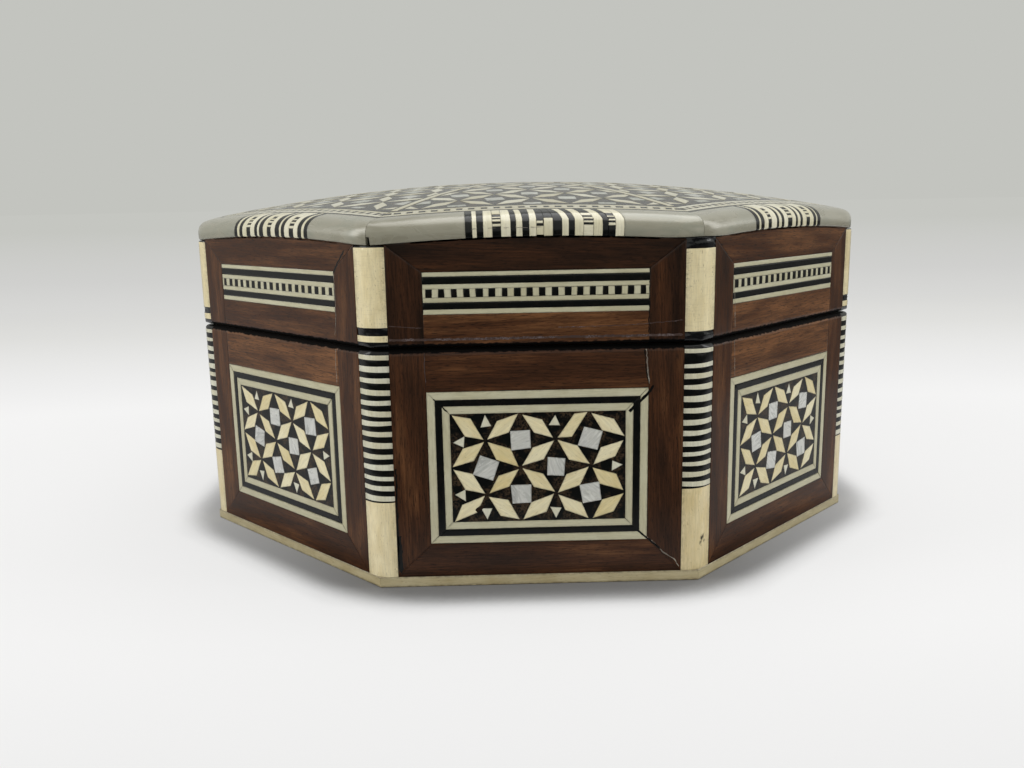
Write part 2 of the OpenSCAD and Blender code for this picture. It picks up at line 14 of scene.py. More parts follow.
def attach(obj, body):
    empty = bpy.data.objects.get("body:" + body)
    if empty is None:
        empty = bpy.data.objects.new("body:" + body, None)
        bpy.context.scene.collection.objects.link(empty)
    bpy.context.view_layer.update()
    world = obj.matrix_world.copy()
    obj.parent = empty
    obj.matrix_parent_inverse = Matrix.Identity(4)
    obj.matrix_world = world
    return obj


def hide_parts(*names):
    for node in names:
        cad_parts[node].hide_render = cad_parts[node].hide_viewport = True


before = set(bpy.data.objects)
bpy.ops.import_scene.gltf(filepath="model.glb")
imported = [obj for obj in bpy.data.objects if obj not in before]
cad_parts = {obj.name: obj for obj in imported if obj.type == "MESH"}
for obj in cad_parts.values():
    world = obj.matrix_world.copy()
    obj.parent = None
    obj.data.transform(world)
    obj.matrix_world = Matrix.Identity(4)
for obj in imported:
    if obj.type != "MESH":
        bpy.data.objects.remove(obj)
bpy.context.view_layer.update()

LOG = logging.getLogger("inlaid_box")
MM = 0.001
EIGHTH = math.radians(45)
HALF = EIGHTH / 2
T = math.tan(HALF)
UPRIGHT = math.pi / 2
SIDES = range(8)
BOTH = (-1, 1)
CUT_ROOM = 0.03 * MM
HAIR = 0.02 * MM
# least upward part of the normal of a level face
LEVEL = 0.9999

Point = tuple[float, float]
Outline = Sequence[Point]
Bend = Callable[[Vector], Vector]
Mesh = bmesh.types.BMesh
Socket = bpy.types.NodeSocket


class Body(Enum):
    """The two halves of the box."""

    BOX = "body"
    LID = "lid"


class Slot(Enum):
    """Material slots of the record."""

    CORE = "core_wood"
    VENEER = "veneer_wood"
    BONE = "bone"
    BLACK = "black_mastic"
    PEARL = "mother_of_pearl"
    VELVET = "velvet"
    BRASS = "brass"


@dataclass(frozen=True)
class BoxSizes:
    """Lengths that the pieces share, in metres, with what follows from them."""

    apothem: float = 75 * MM
    body_h: float = 46.85 * MM
    lid_z: float = 47.15 * MM
    board_z: float = 66.2 * MM
    crown_z: float = 78.25 * MM
    dome_r: float = 400 * MM
    skin_t: float = 1.2 * MM
    core_a: float = 73.8 * MM
    inner_a: float = 67.8 * MM
    lined_a: float = 67.0 * MM
    base_t: float = 4 * MM
    pad_t: float = 1.8 * MM
    seam_round: float = 1.2 * MM
    post_reach: float = 3.5 * MM
    post_r: float = 5.6 * MM
    frame_w: float = 6.65 * MM
    body_rail_h: float = 8.1 * MM
    lid_rail_h: float = 6.15 * MM
    edging_h: float = 2.1 * MM
    rim_out: float = 0.4 * MM
    rim_h: float = 3.8 * MM
    rim_top_w: float = 5.2 * MM
    border_w: float = 5.3 * MM
    band_h: float = 7.8 * MM

    @property
    def side(self) -> float:
        """Length of one side of the octagon."""
        return 2 * self.apothem * T

    @property
    def face_half(self) -> float:
        """Half of a face's width between its posts."""
        return self.side / 2 - self.post_reach

    @property
    def panel_half(self) -> float:
        """Half of a panel's width between its stiles."""
        return self.face_half - self.frame_w

    @property
    def panel_z(self) -> Point:
        """Lower and upper edge of a side panel."""
        return self.edging_h + self.frame_w, self.body_h - self.body_rail_h

    @property
    def band_z(self) -> Point:
        """Lower and upper edge of a lid band."""
        low = self.lid_z + self.lid_rail_h
        return low, low + self.band_h

    @property
    def dome_z(self) -> float:
        """Height of the dome's centre."""
        return self.crown_z - self.dome_r

    @property
    def rim_a(self) -> float:
        """Distance of the rim's outer edge from the middle."""
        return self.apothem + self.rim_out

    @property
    def rim_foot_r(self) -> float:
        """Height of the rim's foot above the dome's centre."""
        return math.sqrt(self.dome_r ** 2 - self.rim_a ** 2) - self.rim_h

    @property
    def border_a(self) -> float:
        """Distance of the border's outer edge from the middle."""
        return self.rim_a - self.rim_top_w

    @property
    def field_a(self) -> float:
        """Distance of the mosaic's edge from the middle."""
        return self.border_a - self.border_w

    def under_rim(self, u: float) -> float:
        """Height of the rim's underside on a face, at u along it."""
        return self.dome_z + math.sqrt(self.rim_foot_r ** 2 - u * u)


BOX = BoxSizes()


# ---------------------------------------------------------------- finishes


def linear(code: str) -> tuple[float, float, float, float]:
    """Turn an sRGB hex colour into linear red, green, blue and alpha."""
    channels = [int(code[i:i + 2], 16) / 255 for i in (1, 3, 5)]
    return *(c / 12.92 if c <= 0.04045 else ((c + 0.055) / 1.055) ** 2.4 for c in channels), 1.0


class Nodes:
    """Node tree of a material or of the room, emptied and built anew."""

    def __init__(self, owner: bpy.types.Material | bpy.types.World) -> None:
        """Empty the owner's node tree.

        Args:
            owner: Material or world that takes the nodes.
        """
        owner.use_nodes = True
        self.tree = owner.node_tree
        self.tree.nodes.clear()
        self.coords = None

    def add(self, kind: str, *inputs: object, by: dict | None = None, out: int | str = 0,
            stops: Sequence[tuple[float, str]] = (), **settings: object) -> Socket | None:
        """Add one node, set it up and link it. A hex colour is turned to linear.

        Args:
            kind: Type of the node without its ShaderNode prefix.
            inputs: Value or source socket for each input in turn, or None to leave it.
            by: The same by the input's name or number.
            out: Output that is handed on.
            stops: Place and colour of each stop, for a colour ramp.
            settings: Attributes of the node.

        Returns:
            The output, where the node has one.
        """
        node = self.tree.nodes.new("ShaderNode" + kind)
        for name, value in settings.items():
            setattr(node, name, value)
        for key, value in {**dict(enumerate(inputs)), **(by or {})}.items():
            if isinstance(value, Socket):
                self.tree.links.new(value, node.inputs[key])
            elif value is not None:
                node.inputs[key].default_value = linear(value) if isinstance(value, str) else value
        for _ in stops[2:]:
            node.color_ramp.elements.new(0.5)
        for part in ("position", "color"):
            for i, (place, colour) in enumerate(stops):
                setattr(node.color_ramp.elements[i], part, place if part == "position" else linear(colour))
        return node.outputs[out] if node.outputs else None

    def streaks(self, size: Sequence[float], detail: float = 3.0, distortion: float = 0.0) -> Socket:
        """Draw noise whose grains have a real size.

        Args:
            size: Length, width and depth of one grain, in millimetres.
            detail: Finer octaves of the noise.
            distortion: Swirl of the noise.

        Returns:
            Socket with a value around 0.5.
        """
        scaled = self.add("VectorMath", self.coords, [1 / (s * MM) for s in size], operation="MULTIPLY")
        return self.add("TexNoise", by={"Vector": scaled, "Scale": 1.0, "Detail": detail, "Roughness": 0.55,
                                        "Distortion": distortion})

    def coats(self, colour: Socket | str, *layers: tuple[Socket, str]) -> Socket:
        """Lay colours over a colour.

        Args:
            colour: Lowest colour.
            layers: Share and colour of each coat, from below.

        Returns:
            Colour with its coats.
        """
        for share, coat in layers:
            colour = self.add("Mix", share, by={6: colour, 7: coat}, out=2, data_type="RGBA")
        return colour

    def shaded(self, colour: Socket, shade: Socket) -> Socket:
        """Multiply a colour by a shade of grey."""
        grey = self.add("CombineColor", shade, shade, shade)
        return self.add("Mix", 1.0, by={6: colour, 7: grey}, out=2, data_type="RGBA", blend_type="MULTIPLY")

    def aged_and_shaded(self, colour: Socket, grime: str, share: float) -> tuple[Socket, Socket]:
        """Darken a piece ragged along its edges with dirt, and paint it black where its shade-and-stain
        attribute is high: painted shade in the seam, and a stain on one foot block.

        Args:
            colour: Clean colour.
            grime: Colour of the dirt along the edges.
            share: How much of the edge's colour is dirt.

        Returns:
            Aged colour with its painted seam shade, and the share of black.
        """
        edge = self.add("Attribute", out="Fac", attribute_name="edge")
        # this attribute holds painted shade at the seam and the stain on one foot block
        shade_and_stain = self.add("Attribute", out="Fac", attribute_name="shade_and_stain")
        ragged = self.streaks((0.9, 0.7, 0.7), 3)
        dirt = self.add("MapRange", ragged, 0.35, 0.65, 0.2 * share, share)
        dirt = self.add("Math", edge, dirt, operation="MULTIPLY")
        torn = self.add("MapRange", ragged, 0.3, 0.7, -0.22, 0.22)
        torn = self.add("Math", shade_and_stain, torn, operation="ADD")
        torn = self.add("MapRange", torn, 0.3, 0.6, 0.0, 0.98)
        return self.coats(colour, (dirt, grime), (torn, "#020202")), torn

    def close(self, colour: Socket, rough: object, height: Socket, relief: float,
              shade_and_stain: Socket | None = None, **fixed: object) -> None:
        """Join colour, roughness and relief to a shader and the output.

        Args:
            colour: Base colour.
            rough: Roughness, as a number or a socket.
            height: Height from 0 to 1 for the bumps.
            relief: Real height of the bumps, in metres.
            shade_and_stain: Share of matt black, painted seam shade and stain, which takes the coat away.
            fixed: Values that are the same all over, by the shader's socket name with _ for a space.
        """
        bump = self.add("Bump", by={"Strength": 1.0, "Distance": relief, "Height": height})
        inputs = {"Base Color": colour, "Roughness": rough, "Normal": bump}
        inputs |= {name.replace("_", " "): value for name, value in fixed.items()}
        # painted seam shade and stain are matt and lose the coat
        if shade_and_stain:
            inputs["Roughness"] = self.add("Mix", shade_and_stain, None, rough, 0.9)
            inputs["Coat Weight"] = self.add("MapRange", shade_and_stain, 0.0, 1.0, inputs["Coat Weight"], 0.0)
        self.add("OutputMaterial", self.add("BsdfPrincipled", by=inputs))


class Finish:
    """What all finishes share: a slot of the record and where their pattern's coordinates come from."""

    slot: ClassVar[Slot]
    grained: ClassVar[bool] = True
    name: str

    def paint(self, n: Nodes) -> None:
        """Draw the finish, each in its own way."""
        raise NotImplementedError

    def material(self) -> bpy.types.Material:
        """Build the finish once and hand it out after that.

        Returns:
            Its material.
        """
        made = bpy.data.materials.get(self.name)
        if made is None:
            made = bpy.data.materials.new(self.name)
            nodes = Nodes(made)
            nodes.coords = (nodes.add("Attribute", out="Vector", attribute_name="grain") if self.grained
                            else nodes.add("TexCoord", out="Object"))
            self.paint(nodes)
        return made


@dataclass(frozen=True)
class Veneer(Finish):
    """Rosewood veneer, sawn, scraped and French polished.

    The eye gets long dark fibres and pores under a clear coat that mirrors what is bright.
    """

    slot = Slot.VENEER
    name: str = "rosewood_veneer_french_polished"
    dark: str = "#1e1006"
    middle: str = "#432611"
    light: str = "#774f2e"
    pore: str = "#0e0703"

    def paint(self, n: Nodes) -> None:
        """Draw figure, fibres and pores.

        Args:
            n: Nodes of the material.
        """
        figure, cloud = n.streaks((38, 3.2, 3), 4, 0.9), n.streaks((24, 5, 7), 2)
        fibre, pores = n.streaks((5.5, 0.28, 0.3), 4), n.streaks((1.6, 0.16, 0.3), 2)
        place = n.add("MapRange", n.add("Math", figure, cloud, operation="ADD"), 0.64, 1.36)
        tone = n.add("Attribute", out="Fac", attribute_name="tone")
        place = n.add("Math", n.add("Math", place, tone, operation="ADD"), 0.5, operation="MULTIPLY")
        colour = n.add("ValToRGB", place, stops=((0.12, self.dark), (0.5, self.middle), (0.88, self.light)))
        colour = n.shaded(colour, n.add("MapRange", fibre, 0.36, 0.64, 0.7, 1.3))
        holes = n.add("MapRange", pores, 0.56, 0.68, 0.0, 0.7)
        colour, shade_and_stain = n.aged_and_shaded(n.coats(colour, (holes, self.pore)), self.pore, 0.3)
        rough = n.add("MapRange", fibre, 0.3, 0.7, 0.42, 0.58)
        height = n.add("Math", fibre, holes, operation="SUBTRACT")
        n.close(colour, rough, height, 0.012 * MM, shade_and_stain, Specular_IOR_Level=0.12, Coat_Weight=0.42,
                Coat_Roughness=0.14, Coat_IOR=1.5, IOR=1.48)


@dataclass(frozen=True)
class Bone(Finish):
    """Camel bone, sawn thin, scraped and polished.

    The eye gets a cream colour that differs from piece to piece, with faint grain and brown pits.
    """

    slot = Slot.BONE
    name: str
    pale: str
    warm: str
    pit_share: float = 0.45
    grime_share: float = 0.55
    tick_share: float = 0.0
    coat: float = 0.9
    pit: str = "#6d5433"
    grime: str = "#3b2f20"
    tick: str = "#1a140d"

    def paint(self, n: Nodes) -> None:
        """Draw clouds, fibres, pits and, where they are cut across, fine dark ticks.

        Args:
            n: Nodes of the material.
        """
        cloud, fibre = n.streaks((5, 2.2, 2)), n.streaks((3.5, 0.28, 0.28))
        pits = n.streaks((0.9, 0.14, 0.3), 1)
        tone = n.add("Attribute", out="Fac", attribute_name="tone")
        share = n.add("Math", n.add("MapRange", cloud, 0.3, 0.7, -0.35, 0.35), tone, operation="ADD",
                      use_clamp=True)
        colour = n.coats(self.warm, (share, self.pale))
        colour = n.shaded(colour, n.add("MapRange", fibre, 0.3, 0.7, 0.88, 1.06))
        holes = n.add("MapRange", pits, 0.66, 0.76, 0.0, self.pit_share)
        colour = n.coats(colour, (holes, self.pit))
        if self.tick_share:
            lines = n.add("MapRange", n.streaks((0.16, 3, 3), 1), 0.55, 0.75, 0.0, 0.14)
            ticks = n.add("MapRange", n.streaks((0.2, 1.1, 1.1), 1), 0.66, 0.72, 0.0, self.tick_share)
            edge = n.add("MapRange", n.add("Attribute", out="Fac", attribute_name="edge"), 0.02, 0.35)
            ticks = n.add("Math", ticks, edge, operation="MULTIPLY")
            # the lines bare the colour of the pits, faintly
            colour = n.coats(colour, (lines, self.pit), (ticks, self.tick))
        colour, shade_and_stain = n.aged_and_shaded(colour, self.grime, self.grime_share)
        rough = n.add("MapRange", fibre, 0.3, 0.7, 0.34, 0.46)
        height = n.add("Math", fibre, holes, operation="SUBTRACT")
        n.close(colour, rough, height, 0.01 * MM, shade_and_stain, Coat_Weight=self.coat, Coat_Roughness=0.12,
                Coat_IOR=1.5, IOR=1.54)


@dataclass(frozen=True)
class Mastic(Finish):
    """Lamp-black mastic, pressed in warm, scraped level and polished.

    The eye gets a greenish black with brown dust where the filling is coarse.
    """

    slot = Slot.BLACK
    name: str
    black: str = "#060908"
    dust: str = "#33261b"
    dust_share: float = 0.5
    coat: float = 0.6
    relief: float = 0.015 * MM

    def paint(self, n: Nodes) -> None:
        """Draw dusty specks in clouds.

        Args:
            n: Nodes of the material.
        """
        cloud, specks = n.streaks((2.6, 2.6, 2.6), 2), n.streaks((0.32, 0.32, 0.32), 4)
        where = n.add("MapRange", cloud, 0.45, 0.62, 0.0, self.dust_share)
        share = n.add("Math", n.add("MapRange", specks, 0.42, 0.62, 0.0, 1.6), where, operation="MULTIPLY",
                      use_clamp=True)
        n.close(n.coats(self.black, (share, self.dust)), n.add("MapRange", specks, 0.35, 0.65, 0.3, 0.55),
                specks, self.relief, Specular_IOR_Level=0.08, Coat_Weight=self.coat, Coat_Roughness=0.12,
                Coat_IOR=1.5)


@dataclass(frozen=True)
class Nacre(Finish):
    """Mother-of-pearl, sawn from the shell, ground flat or round and polished.

    The eye gets silvery grey with wavy growth lines that drift to green and rose.
    """

    slot = Slot.PEARL
    name: str
    shades: tuple[str, ...]
    grain_size: float = 1.0
    line_depth: float = 0.1
    grime_share: float = 0.5
    coat: float = 0.9
    haze: float = 0.1
    grime: str = "#26231d"

    def paint(self, n: Nodes) -> None:
        """Draw clouds, swirls and growth lines.

        Args:
            n: Nodes of the material.
        """
        size = self.grain_size
        cloud = n.streaks((7 * size, 3 * size, 3), 2, 0.6)
        swirl = n.streaks((4 * size, 1.3 * size, 1.3), 3, 1.2)
        lines = n.streaks((1.9 * size, 0.26 * size, 0.3), 3, 0.8)
        tone = n.add("Attribute", out="Fac", attribute_name="tone")
        place = n.add("Math", n.add("MapRange", cloud, 0.3, 0.7, -0.3, 0.3), tone, operation="ADD")
        place = n.add("Math", place, n.add("MapRange", swirl, 0.3, 0.7, -0.22, 0.22), operation="ADD",
                      use_clamp=True)
        colour = n.add("ValToRGB", place, stops=[(i / (len(self.shades) - 1), shade)
                                                 for i, shade in enumerate(self.shades)])
        deep = self.line_depth
        colour = n.shaded(colour, n.add("MapRange", lines, 0.3, 0.7, 1 - deep, 1 + 0.8 * deep))
        colour, shade_and_stain = n.aged_and_shaded(colour, self.grime, self.grime_share)
        n.close(colour, n.add("MapRange", swirl, 0.3, 0.7, 0.2, 0.38), swirl, 0.015 * MM, shade_and_stain, Metallic=0.1,
                Coat_Weight=self.coat, Coat_Roughness=self.haze, Coat_IOR=1.5, IOR=1.5)


@dataclass(frozen=True)
class Brass(Finish):
    """Yellow brass, stamped and left to tarnish.

    The eye gets a dull gold with brown clouds and fine rubbing marks.
    """

    slot = Slot.BRASS
    grained = False
    name: str = "yellow_brass_tarnished"
    bright: str = "#b08d4a"
    brown: str = "#5f4520"

    def paint(self, n: Nodes) -> None:
        """Draw clouds of tarnish and rubbing marks.

        Args:
            n: Nodes of the material.
        """
        cloud, marks = n.streaks((1.6, 1.6, 1.6), 4), n.streaks((2.5, 0.09, 0.09), 2)
        colour = n.coats(self.bright, (n.add("MapRange", cloud, 0.4, 0.68, 0.0, 0.85), self.brown))
        n.close(colour, n.add("MapRange", cloud, 0.3, 0.7, 0.26, 0.5), marks, 0.004 * MM, Metallic=1.0)


@dataclass(frozen=True)
class CoreWood(Finish):
    """Beech boards, planed and left raw, with their outer face painted near-black as painted shade where it
    shows deep in the seam gap.

    The eye gets a matt tan with fine fibres and short brown flecks.
    """

    slot = Slot.CORE
    grained = False
    name: str = "beech_board_planed"
    turn: float = 0.0
    pale: str = "#a47d55"
    dark: str = "#7c5836"
    fleck: str = "#5d3d22"
    gap_shade: str = "#0c0806"

    def paint(self, n: Nodes) -> None:
        """Draw figure, fibres and flecks along the board.

        Args:
            n: Nodes of the material.
        """
        n.coords = n.add("Mapping", n.coords, None, (0.0, 0.0, math.radians(-self.turn)))
        figure, fibre = n.streaks((45, 4, 6), 3, 0.8), n.streaks((7, 0.4, 0.4))
        flecks = n.streaks((2.2, 0.3, 0.3), 1)
        across = n.add("Math", n.add("SeparateXYZ", n.coords, out="Y"), operation="ABSOLUTE")
        colour = n.coats(self.pale, (n.add("MapRange", figure, 0.3, 0.7), self.dark),
                         (n.add("MapRange", fibre, 0.4, 0.75, 0.0, 0.5), self.dark),
                         (n.add("MapRange", flecks, 0.62, 0.7, 0.0, 0.7), self.fleck),
                         # painted shade: the outer face, seen only through the seam gap, is near-black
                         (n.add("MapRange", across, 72.3 * MM, 73 * MM, 0.0, 0.97), self.gap_shade))
        n.close(colour, 0.72, fibre, 0.03 * MM, IOR=1.45)


@dataclass(frozen=True)
class Velvet(Finish):
    """Cotton velvet, woven and brushed.

    The eye gets deep red that pales at a slant, with patches where the pile lies another way.
    """

    slot = Slot.VELVET
    grained = False
    name: str = "cotton_velvet_brushed"
    deep: str = "#380910"
    lit: str = "#641320"
    sheen: str = "#c05060"

    def paint(self, n: Nodes) -> None:
        """Draw the nap's patches and its tufts.

        Args:
            n: Nodes of the material.
        """
        nap, tuft = n.streaks((17, 11, 14), 3, 0.7), n.streaks((0.45, 0.45, 0.45), 2)
        share = n.add("Math", n.add("MapRange", nap, 0.3, 0.7, 0.28, 0.62),
                      n.add("MapRange", tuft, 0.3, 0.7, -0.2, 0.25), operation="ADD", use_clamp=True)
        n.close(n.coats(self.deep, (share, self.lit)), 0.85, tuft, 0.12 * MM, Sheen_Weight=0.5,
                Sheen_Roughness=0.35, Sheen_Tint=self.sheen, IOR=1.4)


VENEER, BRASS, VELVET = Veneer(), Brass(), Velvet()
BONE_WARM = Bone("camel_bone_aged", "#ece3bd", "#dccb92")
BONE_LINE = Bone("camel_bone_bleached", "#dbdac6", "#cdc8aa", 0.25, 0.4)
BONE_BAND = Bone("camel_bone_greyed", "#c8c5a8", "#b9b390", 0.25, 0.4)
BONE_POST = Bone("camel_bone_post", "#ecdfb4", "#d6c38d", 0.6, 0.4, tick_share=0.6)
BONE_FOOT = Bone("camel_bone_foot", "#ecdfb6", "#d8c591", 0.5, 0.35)
BONE_RIM = Bone("camel_bone_rim", "#dfdac0", "#cdc6a2", grime_share=0.5, coat=0.65)
BONE_EDGING = Bone("camel_bone_edging", "#c9bf9b", "#ae9f76", 0.6, 0.6)
BONE_TOP = Bone("camel_bone_top", "#c8c5b0", "#b0a988", grime_share=0.6, coat=0.6)
BLACK_LINE = Mastic("lampblack_mastic_fine", dust_share=0.12)
BLACK_GROUND = Mastic("lampblack_mastic_coarse", dust="#3f3122", dust_share=0.85)
BLACK_LUMP = Mastic("lampblack_mastic_cast", "#05070b", dust_share=0.1, coat=1.0, relief=0.12 * MM)
DUST = Mastic("chalky_polish_dust", "#6f6960", "#b0a898", 0.9)
# fills one crack on the body with worn glaze, and paints highlight lines along the lid's lower edge, where
# its rounded lacquer would reflect the bright table
GLAZE_AND_SHEEN = Mastic("shellac_glaze_and_painted_sheen", "#453732", "#6b6060", 0.6)
SMOKE = Mastic("shellac_smoked", "#23170c", "#5f4628", 0.9)
PEARL_PANEL = Nacre("mother_of_pearl_flat", ("#b4b6b2", "#c6c8c3", "#d3d4cf", "#cbccc5", "#e6e7e1"))
PEARL_TOP = Nacre("mother_of_pearl_top", ("#7b7e74", "#8f9286", "#9ea194", "#979790", "#b6b8ac"), coat=0.6)
PEARL_RIM = Nacre("mother_of_pearl_rim", ("#7f7b68", "#8d8a79", "#969382", "#8c8c7c", "#a29f8f"),
                  2.6, 0.025, 0.25, 0.6, 0.28)


# ---------------------------------------------------------------- sheets of flat pieces


@dataclass
class Tile:
    """One flat piece, drawn in the plane of its sheet.

    Args:
        side: Side of the box that it is laid on, from 0 at the front.
        outline: Its corners.
        grain: Direction of its grain, in radians.
        tone: 0 for the dark and 1 for the light end of its finish.
        sink: How far its face lies under the sheet's surface.
        tilt: Slopes of its face along the two axes.
    """

    side: int
    outline: list[Point]
    grain: float = 0.0
    tone: float = 0.5
    sink: float = 0.0
    tilt: Point = (0.0, 0.0)


def rect(u0: float, v0: float, u1: float, v1: float) -> list[Point]:
    """Outline of an upright rectangle."""
    return [(u0, v0), (u1, v0), (u1, v1), (u0, v1)]


def gored(a1: float, a0: float, gap: float = 0.0) -> list[Point]:
    """Outline of a strip of the top with mitred ends, between two distances from the middle."""
    return [(-a1 * T + gap, -a1 + gap), (a1 * T - gap, -a1 + gap), (a0 * T - gap, -a0 - gap),
            (-a0 * T + gap, -a0 - gap)]


def turned(outline: Iterable[Point], angle: float, at: Point = (0.0, 0.0)) -> list[Point]:
    """Turn an outline about the origin, then move it."""
    c, s = math.cos(angle), math.sin(angle)
    return [(x * c - y * s + at[0], x * s + y * c + at[1]) for x, y in outline]


def ring(outline: Outline) -> Iterable[tuple[Point, Point]]:
    """Every edge of an outline."""
    return zip(outline, [*outline[1:], *outline[:1]])


def signed_area(outline: Outline) -> float:
    """Area of an outline, above 0 when it runs counter-clockwise."""
    return sum(a[0] * b[1] - b[0] * a[1] for a, b in ring(outline)) / 2


def hand_cut(rng: random.Random, outline: Outline, slip: float) -> list[Point]:
    """Shift every corner a little, as a fret saw does."""
    return [(u + rng.gauss(0, slip), v + rng.gauss(0, slip)) for u, v in outline]


def trimmed(outline: Outline, room: Callable[[Point], float]) -> list[Point]:
    """Cut an outline off where the room, which changes evenly, falls below 0.

    Args:
        outline: Outline to cut.
        room: Gives the room at a point.

    Returns:
        What is left of it.
    """
    kept = []
    for here, there in ring(outline):
        a, b = room(here), room(there)
        if a >= 0:
            kept.append(here)
        if (a < 0) != (b < 0):
            share = a / (a - b)
            kept.append((here[0] + (there[0] - here[0]) * share, here[1] + (there[1] - here[1]) * share))
    return [p for i, p in enumerate(kept) if math.dist(p, kept[i - 1]) > 0.2 * MM]


def has_body(outline: Outline, least: float) -> bool:
    """Whether a piece is at least as wide as a small circle of that radius."""
    around = sum(math.dist(a, b) for a, b in ring(outline))
    return len(outline) > 2 and 2 * abs(signed_area(outline)) > least * around


def hairline(path: Outline, width: float, rng: random.Random) -> list[Point]:
    """Draw a ragged crack along a path.

    Args:
        path: Points that the crack passes.
        width: Its greatest width.
        rng: Source of its raggedness.

    Returns:
        Outline of the crack.
    """
    left, right = [], []
    for start, end in zip(path, path[1:]):
        steps = max(round(math.dist(start, end) / (0.45 * MM)), 1)
        along = ((end[0] - start[0]) / steps, (end[1] - start[1]) / steps)
        size = math.hypot(*along)
        for i in range(steps):
            off = rng.gauss(0, 0.04 * MM)
            half = width / 2 * rng.uniform(0.3 if width < 0.3 * MM else 0.65, 1.0)
            x, y = start[0] + along[0] * i, start[1] + along[1] * i
            for side, way in ((left, 1), (right, -1)):
                reach = (off + way * half) / size
                side.append((x - along[1] * reach, y + along[0] * reach))
    return [*left, path[-1], *reversed(right)]


def checks(half: float, count: int, rng: random.Random) -> list[Point]:
    """Part a row of checks unevenly, as they were sawn, with half a piece at each end.

    Args:
        half: Half of the row's length.
        count: Pairs of checks in it.
        rng: Source of unevenness.

    Returns:
        Start and end of every piece.
    """
    edges = [-half] + [-half + (i / 2 + 0.25) * 2 * half / count + rng.gauss(0, 0.07 * MM)
                       for i in range(2 * count)] + [half]
    return list(zip(edges, edges[1:]))


def on_face(co: Vector) -> Vector:
    """Stand a flat sheet upright on the front side: u along the face, v upwards."""
    return Vector((co.x, -BOX.apothem - co.z, co.y))


def to_seam(co: Vector, start: float, way: int) -> Vector:
    """Stand a sheet on the front side and roll its end over the rounded edge of the seam.

    Args:
        co: Point of the flat sheet.
        start: Height at which the rounding starts.
        way: 1 for the body and -1 for the lid, which mirrors it.

    Returns:
        Its place.
    """
    run = way * (co.y - start)
    if run <= 0:
        return on_face(co)
    turn, reach = run / BOX.seam_round, BOX.seam_round + co.z
    return Vector((co.x, -BOX.apothem + BOX.seam_round - reach * math.cos(turn),
                   start + way * reach * math.sin(turn)))


def on_dome(co: Vector) -> Vector:
    """Lay a flat sheet, seen from above, on the domed top."""
    return Vector((co.x, co.y, BOX.dome_z + math.sqrt(BOX.dome_r ** 2 - co.x ** 2 - co.y ** 2) + co.z))


def cut_mesh(bm: Mesh, place: Sequence[float], normal: Sequence[float], **more: object) -> list:
    """Divide a mesh along a plane and hand out what lies on the cut."""
    return bmesh.ops.bisect_plane(bm, geom=[*bm.verts, *bm.edges, *bm.faces], dist=1e-7, plane_co=place,
                                  plane_no=normal, **more)["geom_cut"]


def ease_edges(bm: Mesh, edges: list, width: float) -> None:
    """Round edges off with two facets."""
    bmesh.ops.bevel(bm, geom=edges, offset=width, offset_type="OFFSET", segments=2, profile=0.5,
                    affect="EDGES", clamp_overlap=True, material=-1)


def of_kind(geometry: Iterable, kind: type) -> list:
    """Keep only vertices, edges or faces."""
    return [g for g in geometry if isinstance(g, kind)]


def put(name: str, data: bpy.types.ID) -> bpy.types.Object:
    """Place a mesh, a lamp or a camera in the scene.

    Args:
        name: Name of its object.
        data: What the object shows.

    Returns:
        The object.
    """
    made = bpy.data.objects.new(name, data)
    bpy.context.scene.collection.objects.link(made)
    return made


def finish_piece(bm: Mesh, name: str, finish: Finish, body: Body, *replaces: str, sharp: float = 38.0,
                 slot: Slot | None = None) -> bpy.types.Object:
    """Turn a mesh into a finished piece of the box.

    Args:
        bm: Mesh, which is freed.
        name: Name of the piece.
        finish: Its finish.
        body: Half of the box that carries it.
        replaces: Solids that it stands for.
        sharp: Angle in degrees above which an edge stays sharp.
        slot: Material slot that it follows, where that isn't its finish's own. It is worked out but not used.

    Returns:
        The piece's object.
    """
    for layer in ("side", "seed", "home", "lie"):
        for kind in (bm.verts.layers.float, bm.verts.layers.float_vector):
            if layer in kind:
                kind.remove(kind[layer])
    mesh = bpy.data.meshes.new(name)
    bm.to_mesh(mesh)
    bm.free()
    mesh.polygons.foreach_set("use_smooth", [True] * len(mesh.polygons))
    mesh.set_sharp_from_angle(angle=math.radians(sharp))
    mesh.materials.append(finish.material())
    piece = put(name, mesh)
    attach(piece, body.value)
    slot = slot or finish.slot
    if replaces:
        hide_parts(*replaces)
    LOG.info("%s: %d faces", name, len(mesh.polygons))
    return piece


